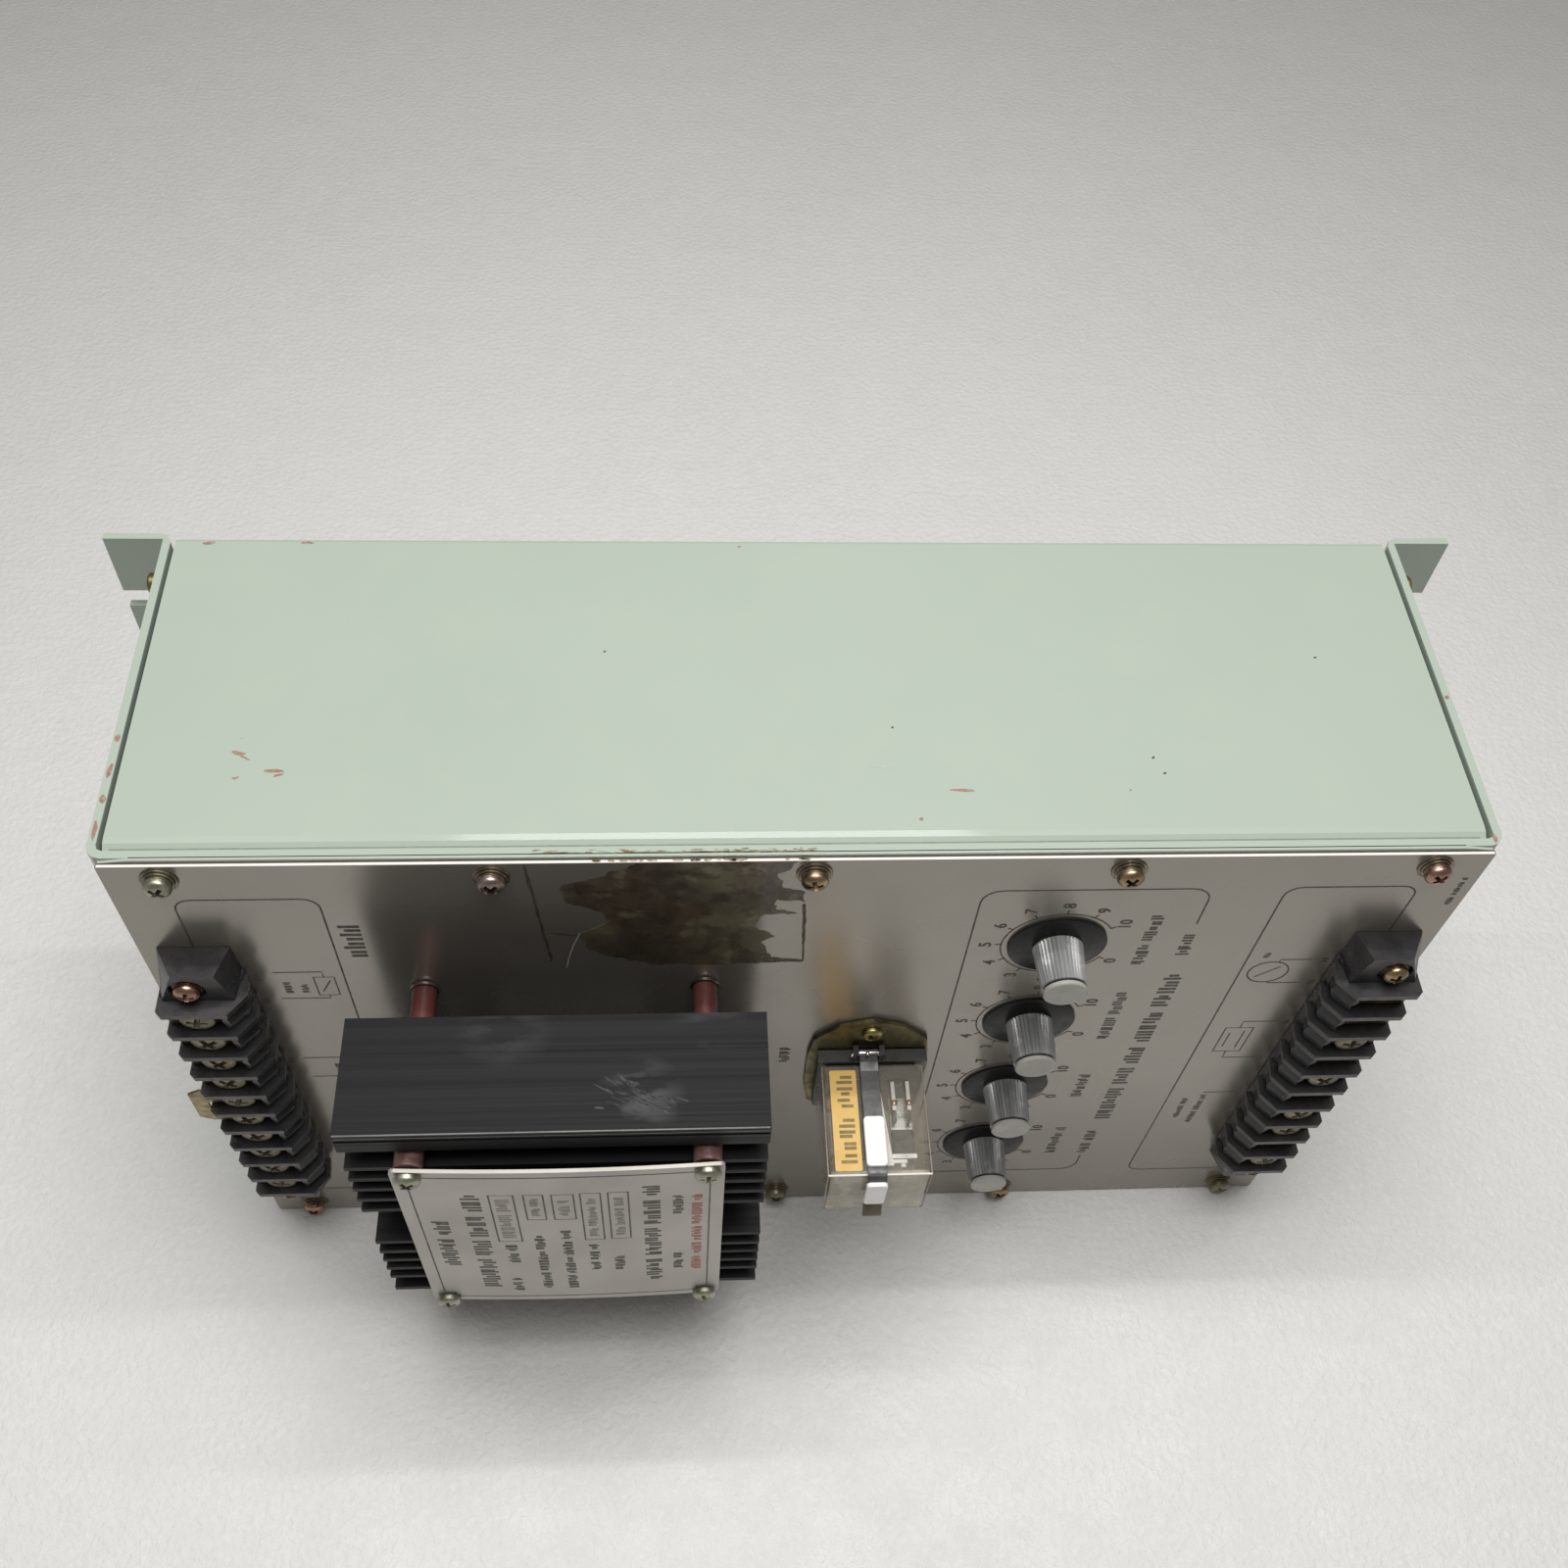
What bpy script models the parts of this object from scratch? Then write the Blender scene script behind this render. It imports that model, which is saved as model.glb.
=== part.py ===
"""Wall-mounting generator voltage regulator, lying on its lower long side.

Every shape is written in millimetres: x runs along the case, y runs into it
from the front face of the chassis, z runs up from the surface it stands on.
mesh_object moves that to metres, with the middle of the whole depth at y = 0.
"""

import math

import bmesh
import bpy
from mathutils import Matrix, Vector

MM = 0.001
GAP = 0.3
CLEAR = 5.0

# Case
CASE_W = 320.0
CASE_H = 201.0
CASE_D = 98.5
NOSE = 54.0
FRONT_Y = (NOSE - CASE_D) / 2
SHEET = 2.0
CORNER_R = 3.5
EAR = 15.0
EAR_BEND_R = 3.0
EAR_SLOT_Z = (22.0, 179.0)
EAR_SLOT_X = 166.0
EAR_SLOT_R = 2.9
LUG_Z = (46.0, 156.0)
LUG_H = 12.0
LUG_X = 146.0

# Cover
COVER_W = 314.4
COVER_T = 1.2
COVER_DROP = 1.0
COVER_FRONT_R = 4.0
COVER_BACK_R = 1.6
COVER_FLANGE = 14.0
SIDE_SCREW_Y = 85.8
SIDE_SCREW_Z = 196.0

# Front panel
PANEL_W = 315.0
PANEL_BACK = -0.3
PANEL_FACE = -1.8
PANEL_SCREWS = (
    (-145.0, 195.0), (-72.5, 195.0), (0.0, 195.0), (72.5, 195.0), (145.0, 195.0),
    (-145.5, 6.5), (-72.5, 6.5), (0.0, 8.0), (72.5, 6.5), (145.5, 6.5),
)
SHANK_R = 1.6
SLIM_SHANK_R = 1.3
HOLE_R = SHANK_R + GAP
PANEL_HEAD = (3.5, 3.9)
BLOCK_HEAD = (3.4, 3.7)
PLATE_HEAD = (3.2, 2.4)
SMALL_HEAD = (2.8, 1.8)
SIDE_HEAD = (2.8, 3.0)
FRONT_TIP = 6.0

# Terminal blocks
SLOTS = 10
PITCH = 11.1
BARRIER_T = 1.8
BLOCK_MID_Z = 98.0
BLOCK_END_Z = 67.7
BLOCK_BACK = -2.1
BLOCK_FLOOR = -8.8
BARRIER_FACE = -14.0
BLOCK_END_FACE = -10.0
BLOCK_SCREW_X = 146.3
BLOCK_SCREW_DZ = 61.3
BLOCK_SEAT = -8.2
SEAT_R = 4.5
BLOCK_TIP = 5.0
RIDGE_LOW = 2.2
RIDGE_HIGH = 0.5
TAIL_X = (141.0, 151.0)
TAIL_DZ = 50.0
TAIL_BACK = 7.0

# Heatsink and nameplate
SINK_X = (-109.1, -9.9)
SINK_BACK = -17.4
SINK_BASE = -23.3
SINK_FRONT = -47.0
SINK_TOP = 158.3
SINK_RAIL = 149.5
SINK_BOTTOM = 55.0
SINK_FLANGE = 57.0
FIN_T = 1.8
FIN_TOPS = (140.4, 134.0, 127.8, 121.3, 114.6, 92.3, 85.4, 79.2, 72.8, 66.4)
PILLAR_AXES = ((-93.5, 144.6), (-24.3, 144.6), (-93.5, 60.8), (-24.3, 60.8))
PILLAR_R = 3.05
COLLAR_R = 3.6
COLLAR_L = 0.8
SPACER_R = 3.45
PLATE_X = (-97.7, -20.3)
PLATE_Z = (58.5, 147.0)
PLATE_BACK = -50.0
PLATE_T = 1.0
PLATE_BOW = 1.0

# Power module
MODULE_X = (-80.0, -38.0)
MODULE_Z = (88.0, 117.0)
MODULE_FACE = -7.5
BLADE_X = (-65.0, -59.0, -53.0)
BLADE_Z = (102.1, 102.9)

# Relay
RELAY_X = 20.9
RELAY_Z = 96.4
RELAY_FACE = -38.5
RELAY_MOUTH = -7.6
CASE_T = 0.8
BRACKET_X = 20.4
BRACKET_T = 1.0
SOCKET_X = (6.5, 36.0)
SOCKET_Z = (82.0, 109.0)
SOCKET_FACE = -7.0
SOCKET_BODY_X = (9.0, 33.5)
SOCKET_BODY_Z = (85.0, 106.0)
SOCKET_BACK = 12.0
PIN_ROWS = (91.0, 100.0)
PIN_COLUMNS = (13.4, 18.4, 23.4, 28.4)
COIL_AXIS = (16.4, 95.4)
COIL_ENDS = (-11.3, -29.7)
CLIP_X = 20.0
CLIP_W = 5.0
CLIP_T = 0.8
CLIP_PIN = (-5.2, 110.6)
CLIP_PIN_R = 0.8
CLIP_END = -40.4
ARMATURE_PIN = (-32.0, 104.3)
ARM_X = (25.6, 31.4)
RELAY_SCREW_Z = (118.5, 71.5)

# Knobs
KNOB_X = 62.0
KNOB_Z = (161.8, 121.8, 82.4, 42.2)
KNOB_END = -16.1
KNOB_BORE_END = -11.0
SKIRT_R = 12.3
SHAFT_R = 3.0
SHAFT_BACK = 9.3
BUSHING_R = 4.2
POT_R = 12.0
POT_BACK = 11.0

# Inside the case
BOARD_FRONT = 23.8
BOARD_T = 1.6
CORE_X = (-30.0, 30.0)
CORE_Z = (60.0, 110.0)
CORE_Y = (34.0, 56.0)
CORE_BAR = 10.0
COIL_Y = (28.0, 62.0)


def arc(cx, cy, radius, start, end, steps):
    """Points along a circle, in degrees, both ends included."""
    points = []
    for i in range(steps + 1):
        angle = math.radians(start + (end - start) * i / steps)
        points.append((cx + radius * math.cos(angle), cy + radius * math.sin(angle)))
    return points


def put(axis, a, b, along):
    """The point with in-plane coordinates a, b at a place along the named axis."""
    if axis == "X":
        return (along, a, b)
    if axis == "Y":
        return (a, along, b)
    return (a, b, along)


def loft(axis, rings):
    """A closed body through rings of equal length; a ring is (points, along)."""
    count = len(rings[0][0])
    verts = []
    for points, along in rings:
        verts += [put(axis, a, b, along) for a, b in points]
    faces = [tuple(range(count)), tuple(range(len(verts) - count, len(verts)))]
    for ring in range(len(rings) - 1):
        for i in range(count):
            j = (i + 1) % count
            low = ring * count
            faces.append((low + i, low + j, low + count + j, low + count + i))
    return verts, faces


def prism(axis, outline, start, end):
    return loft(axis, [(outline, start), (outline, end)])


def block(x, y, z):
    return prism("Z", [(x[0], y[0]), (x[1], y[0]), (x[1], y[1]), (x[0], y[1])], *z)


def turned(axis, centre, profile, segments):
    """A body turned about a line parallel to an axis; profile is (radius, along)."""
    verts = []
    rows = []
    closed = all(radius > 0 for radius, _ in profile)
    for radius, along in profile:
        if radius == 0:
            rows.append([len(verts)] * segments)
            verts.append(put(axis, centre[0], centre[1], along))
            continue
        rows.append(list(range(len(verts), len(verts) + segments)))
        for i in range(segments):
            angle = 2 * math.pi * (i + 0.5) / segments
            a = centre[0] + radius * math.cos(angle)
            b = centre[1] + radius * math.sin(angle)
            verts.append(put(axis, a, b, along))
    faces = []
    last = len(rows) if closed else len(rows) - 1
    for k in range(last):
        one = rows[k]
        two = rows[(k + 1) % len(rows)]
        for i in range(segments):
            j = (i + 1) % segments
            face = list(dict.fromkeys((one[i], one[j], two[j], two[i])))
            if len(face) > 2:
                faces.append(tuple(face))
    return verts, faces


def rod(axis, centre, radius, start, end, segments=10):
    return turned(axis, centre, [(0, start), (radius, start), (radius, end), (0, end)],
                  segments)


def together(shapes):
    """Several closed shapes that don't touch, as one mesh."""
    verts = []
    faces = []
    for shape_verts, shape_faces in shapes:
        base = len(verts)
        verts += shape_verts
        faces += [tuple(base + i for i in face) for face in shape_faces]
    return verts, faces


def same(shape):
    return shape


def mirrored(shape):
    """The same shape on the other side of the case."""
    return [(-x, y, z) for x, y, z in shape[0]], shape[1]


def mesh_object(name, shape, origin=(0.0, 0.0, 0.0)):
    """A mesh object from millimetre points, its origin at the given point."""
    shift = Vector((0.0, FRONT_Y, 0.0))
    base = Vector(origin)
    mesh = bpy.data.meshes.new(name)
    mesh.from_pydata([(Vector(v) - base) * MM for v in shape[0]], [], shape[1])
    built = bmesh.new()
    built.from_mesh(mesh)
    bmesh.ops.recalc_face_normals(built, faces=built.faces)
    built.to_mesh(mesh)
    built.free()
    obj = bpy.data.objects.new(name, mesh)
    obj.matrix_world = Matrix.Translation((base + shift) * MM)
    bpy.context.scene.collection.objects.link(obj)
    return obj


def node(name, shape, look, origin=(0.0, 0.0, 0.0), smooth=False):
    """A visible piece with its own material; look is (colour, metallic, roughness)."""
    obj = mesh_object(name, shape, origin)
    material = bpy.data.materials.new(name)
    material.use_nodes = True
    shader = material.node_tree.nodes["Principled BSDF"]
    shader.inputs["Base Color"].default_value = (*look[0], 1.0)
    shader.inputs["Metallic"].default_value = look[1]
    shader.inputs["Roughness"].default_value = look[2]
    if len(look) > 3:
        shader.inputs["Alpha"].default_value = look[3]
    obj.data.materials.append(material)
    if smooth:
        obj.data.shade_smooth()
        bevel = obj.modifiers.new("edges", "EDGE_SPLIT")
        bevel.split_angle = math.radians(40)
    return obj


def combine(obj, operation, shape):
    """Cuts a shape from a piece, or joins it on."""
    tool = mesh_object(f"{obj.name}.{operation}.{len(obj.modifiers)}", shape)
    tool.hide_render = True
    tool.display_type = "WIRE"
    modifier = obj.modifiers.new(operation, "BOOLEAN")
    modifier.operation = operation
    modifier.solver = "EXACT"
    modifier.object = tool


def screw(name, axis, centre, seat, head, tip, look, shank_r=SHANK_R):
    """A pan-head screw with its washers; head is (radius, height off the seat)."""
    head_r, head_h = head
    way = math.copysign(1.0, seat - tip)
    start = seat + GAP * way
    profile = [
        (0, start + head_h * way),
        (head_r * 0.6, start + head_h * 0.9 * way),
        (head_r * 0.93, start + head_h * 0.55 * way),
        (head_r, start),
        (shank_r, start),
        (shank_r, tip),
        (0, tip),
    ]
    node(name, turned(axis, centre, profile, 10), look, smooth=True)


GREEN = ((0.50, 0.60, 0.52), 0.0, 0.4)
ALUMINIUM = ((0.45, 0.43, 0.40), 1.0, 0.45)
BLACK = ((0.03, 0.03, 0.03), 0.0, 0.4)
ANODISED = ((0.02, 0.02, 0.024), 0.6, 0.45)
PHENOLIC = ((0.16, 0.03, 0.025), 0.0, 0.4)
STEEL = ((0.45, 0.44, 0.41), 1.0, 0.35)
BRASS = ((0.42, 0.27, 0.14), 1.0, 0.35)
ZINC = ((0.42, 0.36, 0.14), 1.0, 0.4)
CLEAR_CASE = ((0.75, 0.70, 0.62), 0.0, 0.1, 0.35)
COPPER = ((0.55, 0.22, 0.12), 0.8, 0.4)
GREY_KNOB = ((0.25, 0.25, 0.25), 0.0, 0.4)
BOARD = ((0.20, 0.16, 0.06), 0.0, 0.5)
TAPE = ((0.55, 0.42, 0.12), 0.0, 0.5)


def through_front(centre, radius, segments=8):
    return rod("Y", centre, radius, PANEL_FACE - CLEAR, SHEET + CLEAR, segments)


def socket_window(depth):
    """The opening that the relay socket's body passes through."""
    wide = (SOCKET_BODY_X[0] - GAP, SOCKET_BODY_X[1] + GAP)
    return block(wide, depth, (SOCKET_BODY_Z[0] - GAP, SOCKET_BODY_Z[1] + GAP))


def front_openings():
    """The openings that the panel and the chassis front wall share."""
    cuts = [through_front(centre, HOLE_R) for centre in PANEL_SCREWS]
    cuts += [through_front(centre, HOLE_R) for centre in PILLAR_AXES]
    cuts += [through_front((KNOB_X, z), BUSHING_R + GAP, 12) for z in KNOB_Z]
    cuts += [through_front((BRACKET_X, z), SLIM_SHANK_R + GAP) for z in RELAY_SCREW_Z]
    depth = (PANEL_FACE - CLEAR, SHEET + CLEAR)
    for side in (-1, 1):
        for sign in (-1, 1):
            centre = (side * BLOCK_SCREW_X, BLOCK_MID_Z + sign * BLOCK_SCREW_DZ)
            cuts.append(through_front(centre, HOLE_R))
        wide = sorted((side * (TAIL_X[0] - 0.5), side * (TAIL_X[1] + 0.5)))
        tall = (BLOCK_MID_Z - TAIL_DZ - 0.5, BLOCK_MID_Z + TAIL_DZ + 0.5)
        cuts.append(block(wide, depth, tall))
    cuts.append(socket_window(depth))
    cuts.append(block((BLADE_X[0] - 3, BLADE_X[-1] + 3), depth,
                      (BLADE_Z[0] - 5, BLADE_Z[1] + 5)))
    return together(cuts)


def build_case():
    half = CASE_W / 2
    inner = half - SHEET
    right = arc(half - CORNER_R, CORNER_R, CORNER_R, -90, 0, 3)
    right += [(half, CASE_D - SHEET), (half + EAR, CASE_D - SHEET)]
    right += [(half + EAR, CASE_D)]
    right += arc(inner + EAR_BEND_R, CASE_D - EAR_BEND_R, EAR_BEND_R, 90, 180, 2)
    right += arc(half - CORNER_R, CORNER_R, CORNER_R - SHEET, 0, -90, 2)
    left = [(-x, y) for x, y in reversed(right)]
    body = node("chassis", prism("Z", right + left, 0.0, CASE_H), GREEN)
    lugs = []
    for side in (-1, 1):
        wide = sorted((side * LUG_X, side * (half - SHEET / 2)))
        for z in LUG_Z:
            lugs.append(block(wide, (BOARD_FRONT - GAP - SHEET, BOARD_FRONT - GAP),
                              (z - LUG_H / 2, z + LUG_H / 2)))
    combine(body, "UNION", together(lugs))
    cuts = []
    for side in (-1, 1):
        for z in EAR_SLOT_Z:
            round_end = arc(EAR_SLOT_X, z, EAR_SLOT_R, 90, 270, 6)
            far = half + EAR + CLEAR
            slot = round_end + [(far, z - EAR_SLOT_R), (far, z + EAR_SLOT_R)]
            shape = prism("Y", slot, CASE_D - SHEET - CLEAR, CASE_D + CLEAR)
            cuts.append(shape if side > 0 else mirrored(shape))
        ends = sorted((side * (half - SHEET - CLEAR), side * (half + CLEAR)))
        cuts.append(rod("X", (SIDE_SCREW_Y, SIDE_SCREW_Z), HOLE_R, *ends, 8))
    combine(body, "DIFFERENCE", together(cuts))
    combine(body, "DIFFERENCE", front_openings())


def build_cover():
    front = SHEET + GAP
    back = CASE_D - GAP
    top = CASE_H - COVER_DROP
    mid = CASE_H / 2
    fr = COVER_FRONT_R
    br = COVER_BACK_R
    t = COVER_T
    upper = [(front, top - COVER_FLANGE)]
    upper += arc(front + fr, top - fr, fr, 180, 90, 4)
    upper += arc(back - br, top - br, br, 90, 0, 3)
    under = arc(back - br, top - br, br - t, 0, 90, 3)
    under += arc(front + fr, top - fr, fr - t, 90, 180, 4)
    under += [(front + t, top - COVER_FLANGE)]
    outer = upper + [(y, 2 * mid - z) for y, z in reversed(upper)]
    inner = [(y, 2 * mid - z) for y, z in reversed(under)] + under
    outline = outer + inner
    cover = node("cover", prism("X", outline, -COVER_W / 2, COVER_W / 2), GREEN)
    tabs = []
    for side in (-1, 1):
        wide = sorted((side * (COVER_W / 2 - 1.5), side * COVER_W / 2))
        tall = (SIDE_SCREW_Z - 10, top - t / 2)
        tabs.append(block(wide, (SIDE_SCREW_Y - 6, SIDE_SCREW_Y + 6), tall))
    combine(cover, "UNION", together(tabs))
    cuts = []
    for x, z in PANEL_SCREWS:
        cuts.append(rod("Y", (x, z), HOLE_R, front - 2, front + t + 2, 8))
    for side in (-1, 1):
        ends = sorted((side * (COVER_W / 2 - CLEAR), side * (COVER_W / 2 + CLEAR)))
        cuts.append(rod("X", (SIDE_SCREW_Y, SIDE_SCREW_Z), HOLE_R, *ends, 8))
    combine(cover, "DIFFERENCE", together(cuts))


def build_panel():
    half = PANEL_W / 2
    panel = node("front_panel", block((-half, half), (PANEL_FACE, PANEL_BACK),
                                      (1.0, CASE_H - 1.0)), ALUMINIUM)
    combine(panel, "DIFFERENCE", front_openings())
    for number, centre in enumerate(PANEL_SCREWS, 1):
        screw(f"panel_screw_{number}", "Y", centre, PANEL_FACE, PANEL_HEAD, FRONT_TIP,
              BRASS)
    for side, word in ((-1, "left"), (1, "right")):
        screw(f"side_screw_{word}", "X", (SIDE_SCREW_Y, SIDE_SCREW_Z),
              side * CASE_W / 2, SIDE_HEAD, side * (CASE_W / 2 - 8), ZINC)


def ridge_outline(below):
    """The section of a slot's inner wall, a distance below the barriers' outline."""
    return [(141.4, -5.0), (141.4, -11.2 + below), (140.4, -12.8 + below),
            (137.9 + 0.8 * below, -13.4 + 0.6 * below),
            (133.8 + 0.9 * below, -8.6 + 0.3 * below), (134.3 + below, -5.0)]


def build_terminal_blocks():
    base = [(154.0, BLOCK_BACK), (154.0, BLOCK_FLOOR), (139.5, BLOCK_FLOOR),
            (135.2, -4.5), (135.2, BLOCK_BACK)]
    wall = [(154.5, -3.0), (154.5, -12.8), (153.3, BARRIER_FACE),
            (137.7, BARRIER_FACE), (133.6, BLOCK_FLOOR), (134.2, -3.0)]
    reach = SLOTS * PITCH / 2
    body = prism("Z", base, BLOCK_MID_Z - reach - 2, BLOCK_MID_Z + reach + 2)
    walls = []
    for i in range(SLOTS + 1):
        z = BLOCK_MID_Z - reach + i * PITCH
        walls.append(prism("Z", wall, z - BARRIER_T / 2, z + BARRIER_T / 2))
    near = [(153.8, BLOCK_BACK + 0.2), (153.6, BLOCK_END_FACE),
            (136.0, BLOCK_END_FACE), (135.6, BLOCK_BACK + 0.2)]
    far = [(153.2, BLOCK_BACK + 0.2), (148.8, BLOCK_END_FACE),
           (138.9, BLOCK_END_FACE), (136.2, BLOCK_BACK + 0.2)]
    ends = []
    holes = []
    for sign in (-1, 1):
        ends.append(loft("Z", [(near, BLOCK_MID_Z + sign * (reach + 0.2)),
                               (far, BLOCK_MID_Z + sign * BLOCK_END_Z)]))
        centre = (BLOCK_SCREW_X, BLOCK_MID_Z + sign * BLOCK_SCREW_DZ)
        holes.append(turned("Y", centre, [
            (0, BLOCK_END_FACE - CLEAR), (SEAT_R, BLOCK_END_FACE - CLEAR),
            (SEAT_R, BLOCK_SEAT), (HOLE_R, BLOCK_SEAT), (HOLE_R, CLEAR), (0, CLEAR),
        ], 12))
    ridges = []
    half_slot = (PITCH - BARRIER_T) / 2 + GAP
    for i in range(SLOTS):
        z = BLOCK_MID_Z - reach + (i + 0.5) * PITCH
        ridges.append(loft("Z", [(ridge_outline(RIDGE_LOW), z - half_slot),
                                 (ridge_outline(RIDGE_HIGH), z),
                                 (ridge_outline(RIDGE_LOW), z + half_slot)]))
    tail = block(TAIL_X, (-5.0, TAIL_BACK),
                 (BLOCK_MID_Z - TAIL_DZ, BLOCK_MID_Z + TAIL_DZ))
    for side, word in ((-1, "left"), (1, "right")):
        turn = mirrored if side < 0 else same
        piece = node(f"terminal_block_{word}", turn(body), BLACK)
        combine(piece, "UNION", turn(together(walls)))
        combine(piece, "UNION", turn(together(ridges)))
        combine(piece, "UNION", turn(together(ends)))
        combine(piece, "UNION", turn(tail))
        combine(piece, "DIFFERENCE", turn(together(holes)))
        for sign, level in ((1, "top"), (-1, "bottom")):
            centre = (side * BLOCK_SCREW_X, BLOCK_MID_Z + sign * BLOCK_SCREW_DZ)
            screw(f"block_screw_{word}_{level}", "Y", centre, BLOCK_SEAT, BLOCK_HEAD,
                  BLOCK_TIP, BRASS)


def build_heatsink():
    outline = [(SINK_BACK, SINK_BOTTOM), (SINK_BACK, SINK_TOP), (SINK_FRONT, SINK_TOP),
               (SINK_FRONT, 155.6), (SINK_FRONT + 1.2, 155.6),
               (SINK_FRONT + 1.2, 154.6), (SINK_FRONT, 154.6),
               (SINK_FRONT, SINK_RAIL), (SINK_BASE, SINK_RAIL)]
    for top in FIN_TOPS:
        outline += [(SINK_BASE, top), (SINK_FRONT, top), (SINK_FRONT, top - FIN_T),
                    (SINK_BASE, top - FIN_T)]
    outline += [(SINK_BASE, SINK_FLANGE), (SINK_FRONT, SINK_FLANGE),
                (SINK_FRONT, SINK_BOTTOM)]
    sink = node("heatsink", prism("X", outline, *SINK_X), ANODISED)
    cuts = [rod("Y", centre, HOLE_R, SINK_BASE - 2, SINK_BACK + 2, 8)
            for centre in PILLAR_AXES]
    combine(sink, "DIFFERENCE", together(cuts))
    foot = PANEL_FACE - GAP
    for number, centre in enumerate(PILLAR_AXES, 1):
        top = SINK_BACK + GAP
        node(f"heatsink_pillar_{number}", turned("Y", centre, [
            (0, 5.0), (SHANK_R, 5.0), (SHANK_R, foot), (COLLAR_R, foot),
            (COLLAR_R, foot - COLLAR_L), (PILLAR_R, foot - COLLAR_L - 0.2), (PILLAR_R, top),
            (HOLE_R, top), (HOLE_R, -9.0), (0, -9.0),
        ], 12), PHENOLIC, smooth=True)
        node(f"nameplate_spacer_{number}", turned("Y", centre, [
            (HOLE_R, SINK_BASE - GAP), (SPACER_R, SINK_BASE - GAP),
            (SPACER_R, PLATE_BACK + GAP), (HOLE_R, PLATE_BACK + GAP),
        ], 12), PHENOLIC, smooth=True)
        screw(f"nameplate_screw_{number}", "Y", centre,
              PLATE_BACK - PLATE_T - GAP, PLATE_HEAD, -10.0, STEEL)


def build_nameplate():
    mid = (PLATE_X[0] + PLATE_X[1]) / 2
    half = (PLATE_X[1] - PLATE_X[0]) / 2
    curve = []
    for i in range(9):
        s = i / 4 - 1
        curve.append((mid + half * s, PLATE_BACK - PLATE_BOW * (1 - s * s)))
    outline = curve + [(x, y - PLATE_T) for x, y in reversed(curve)]
    plate = node("nameplate", prism("Z", outline, *PLATE_Z), ALUMINIUM)
    cuts = [rod("Y", centre, HOLE_R, PLATE_BACK - CLEAR, PLATE_BACK + 2, 8)
            for centre in PILLAR_AXES]
    combine(plate, "DIFFERENCE", together(cuts))


def build_power_module():
    outline = []
    for x, z, start in ((MODULE_X[0] + 2, MODULE_Z[0] + 2, 180),
                        (MODULE_X[1] - 2, MODULE_Z[0] + 2, 270),
                        (MODULE_X[1] - 2, MODULE_Z[1] - 2, 0),
                        (MODULE_X[0] + 2, MODULE_Z[1] - 2, 90)):
        outline += arc(x, z, 2.0, start, start + 90, 1)
    module = node("power_module", prism("Y", outline, SINK_BACK + GAP, MODULE_FACE), BLACK)
    blades = [block((x - 1.6, x + 1.6), (MODULE_FACE - 0.5, 11.0), BLADE_Z)
              for x in BLADE_X]
    combine(module, "UNION", together(blades))


def build_relay_socket():
    crown = [(4.0, 87.0), (5.2, 78.2), (11.6, 71.0), (BRACKET_X, 68.2),
             (28.6, 71.2), (35.8, 79.0), (36.8, 87.0)]
    arch = crown + [(x, 2 * RELAY_Z - z) for x, z in reversed(crown)]
    back = PANEL_FACE - GAP
    seat = back - BRACKET_T
    plate = node("relay_mounting_plate", prism("Y", arch, seat, back), ZINC)
    cuts = [socket_window((seat - 2, back + 2))]
    cuts += [rod("Y", (BRACKET_X, z), SLIM_SHANK_R + GAP, seat - 2, back + 2, 8)
             for z in RELAY_SCREW_Z]
    combine(plate, "DIFFERENCE", together(cuts))
    for z, level in zip(RELAY_SCREW_Z, ("top", "bottom")):
        screw(f"socket_screw_{level}", "Y", (BRACKET_X, z), seat, SMALL_HEAD, BLOCK_TIP,
              ZINC, SLIM_SHANK_R)

    socket = node("relay_socket", block(SOCKET_X, (SOCKET_FACE, seat - GAP), SOCKET_Z),
                  BLACK)
    combine(socket, "UNION", block(SOCKET_BODY_X, (seat - 1, SOCKET_BACK), SOCKET_BODY_Z))
    ears = []
    for side in (-1, 1):
        wide = sorted((CLIP_X + side * (CLIP_W / 2 + GAP),
                       CLIP_X + side * (CLIP_W / 2 + 1.7)))
        ears.append(block(wide, (SOCKET_FACE + 0.2, SOCKET_FACE + 3.2),
                          (SOCKET_Z[1] - 1, CLIP_PIN[1] + 1.8)))
    combine(socket, "UNION", together(ears))
    combine(socket, "DIFFERENCE", together([
        rod("X", CLIP_PIN, CLIP_PIN_R + GAP, CLIP_X - 6, CLIP_X + 6, 8),
        block((11.0, 31.0), (SOCKET_FACE - 2, -1.0), (87.5, 103.5)),
    ]))


def relay_ring(half_x, half_z):
    """A rectangle round the relay's axis."""
    low_x, high_x = RELAY_X - half_x, RELAY_X + half_x
    low_z, high_z = RELAY_Z - half_z, RELAY_Z + half_z
    return [(low_x, low_z), (high_x, low_z), (high_x, high_z), (low_x, high_z)]


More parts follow.
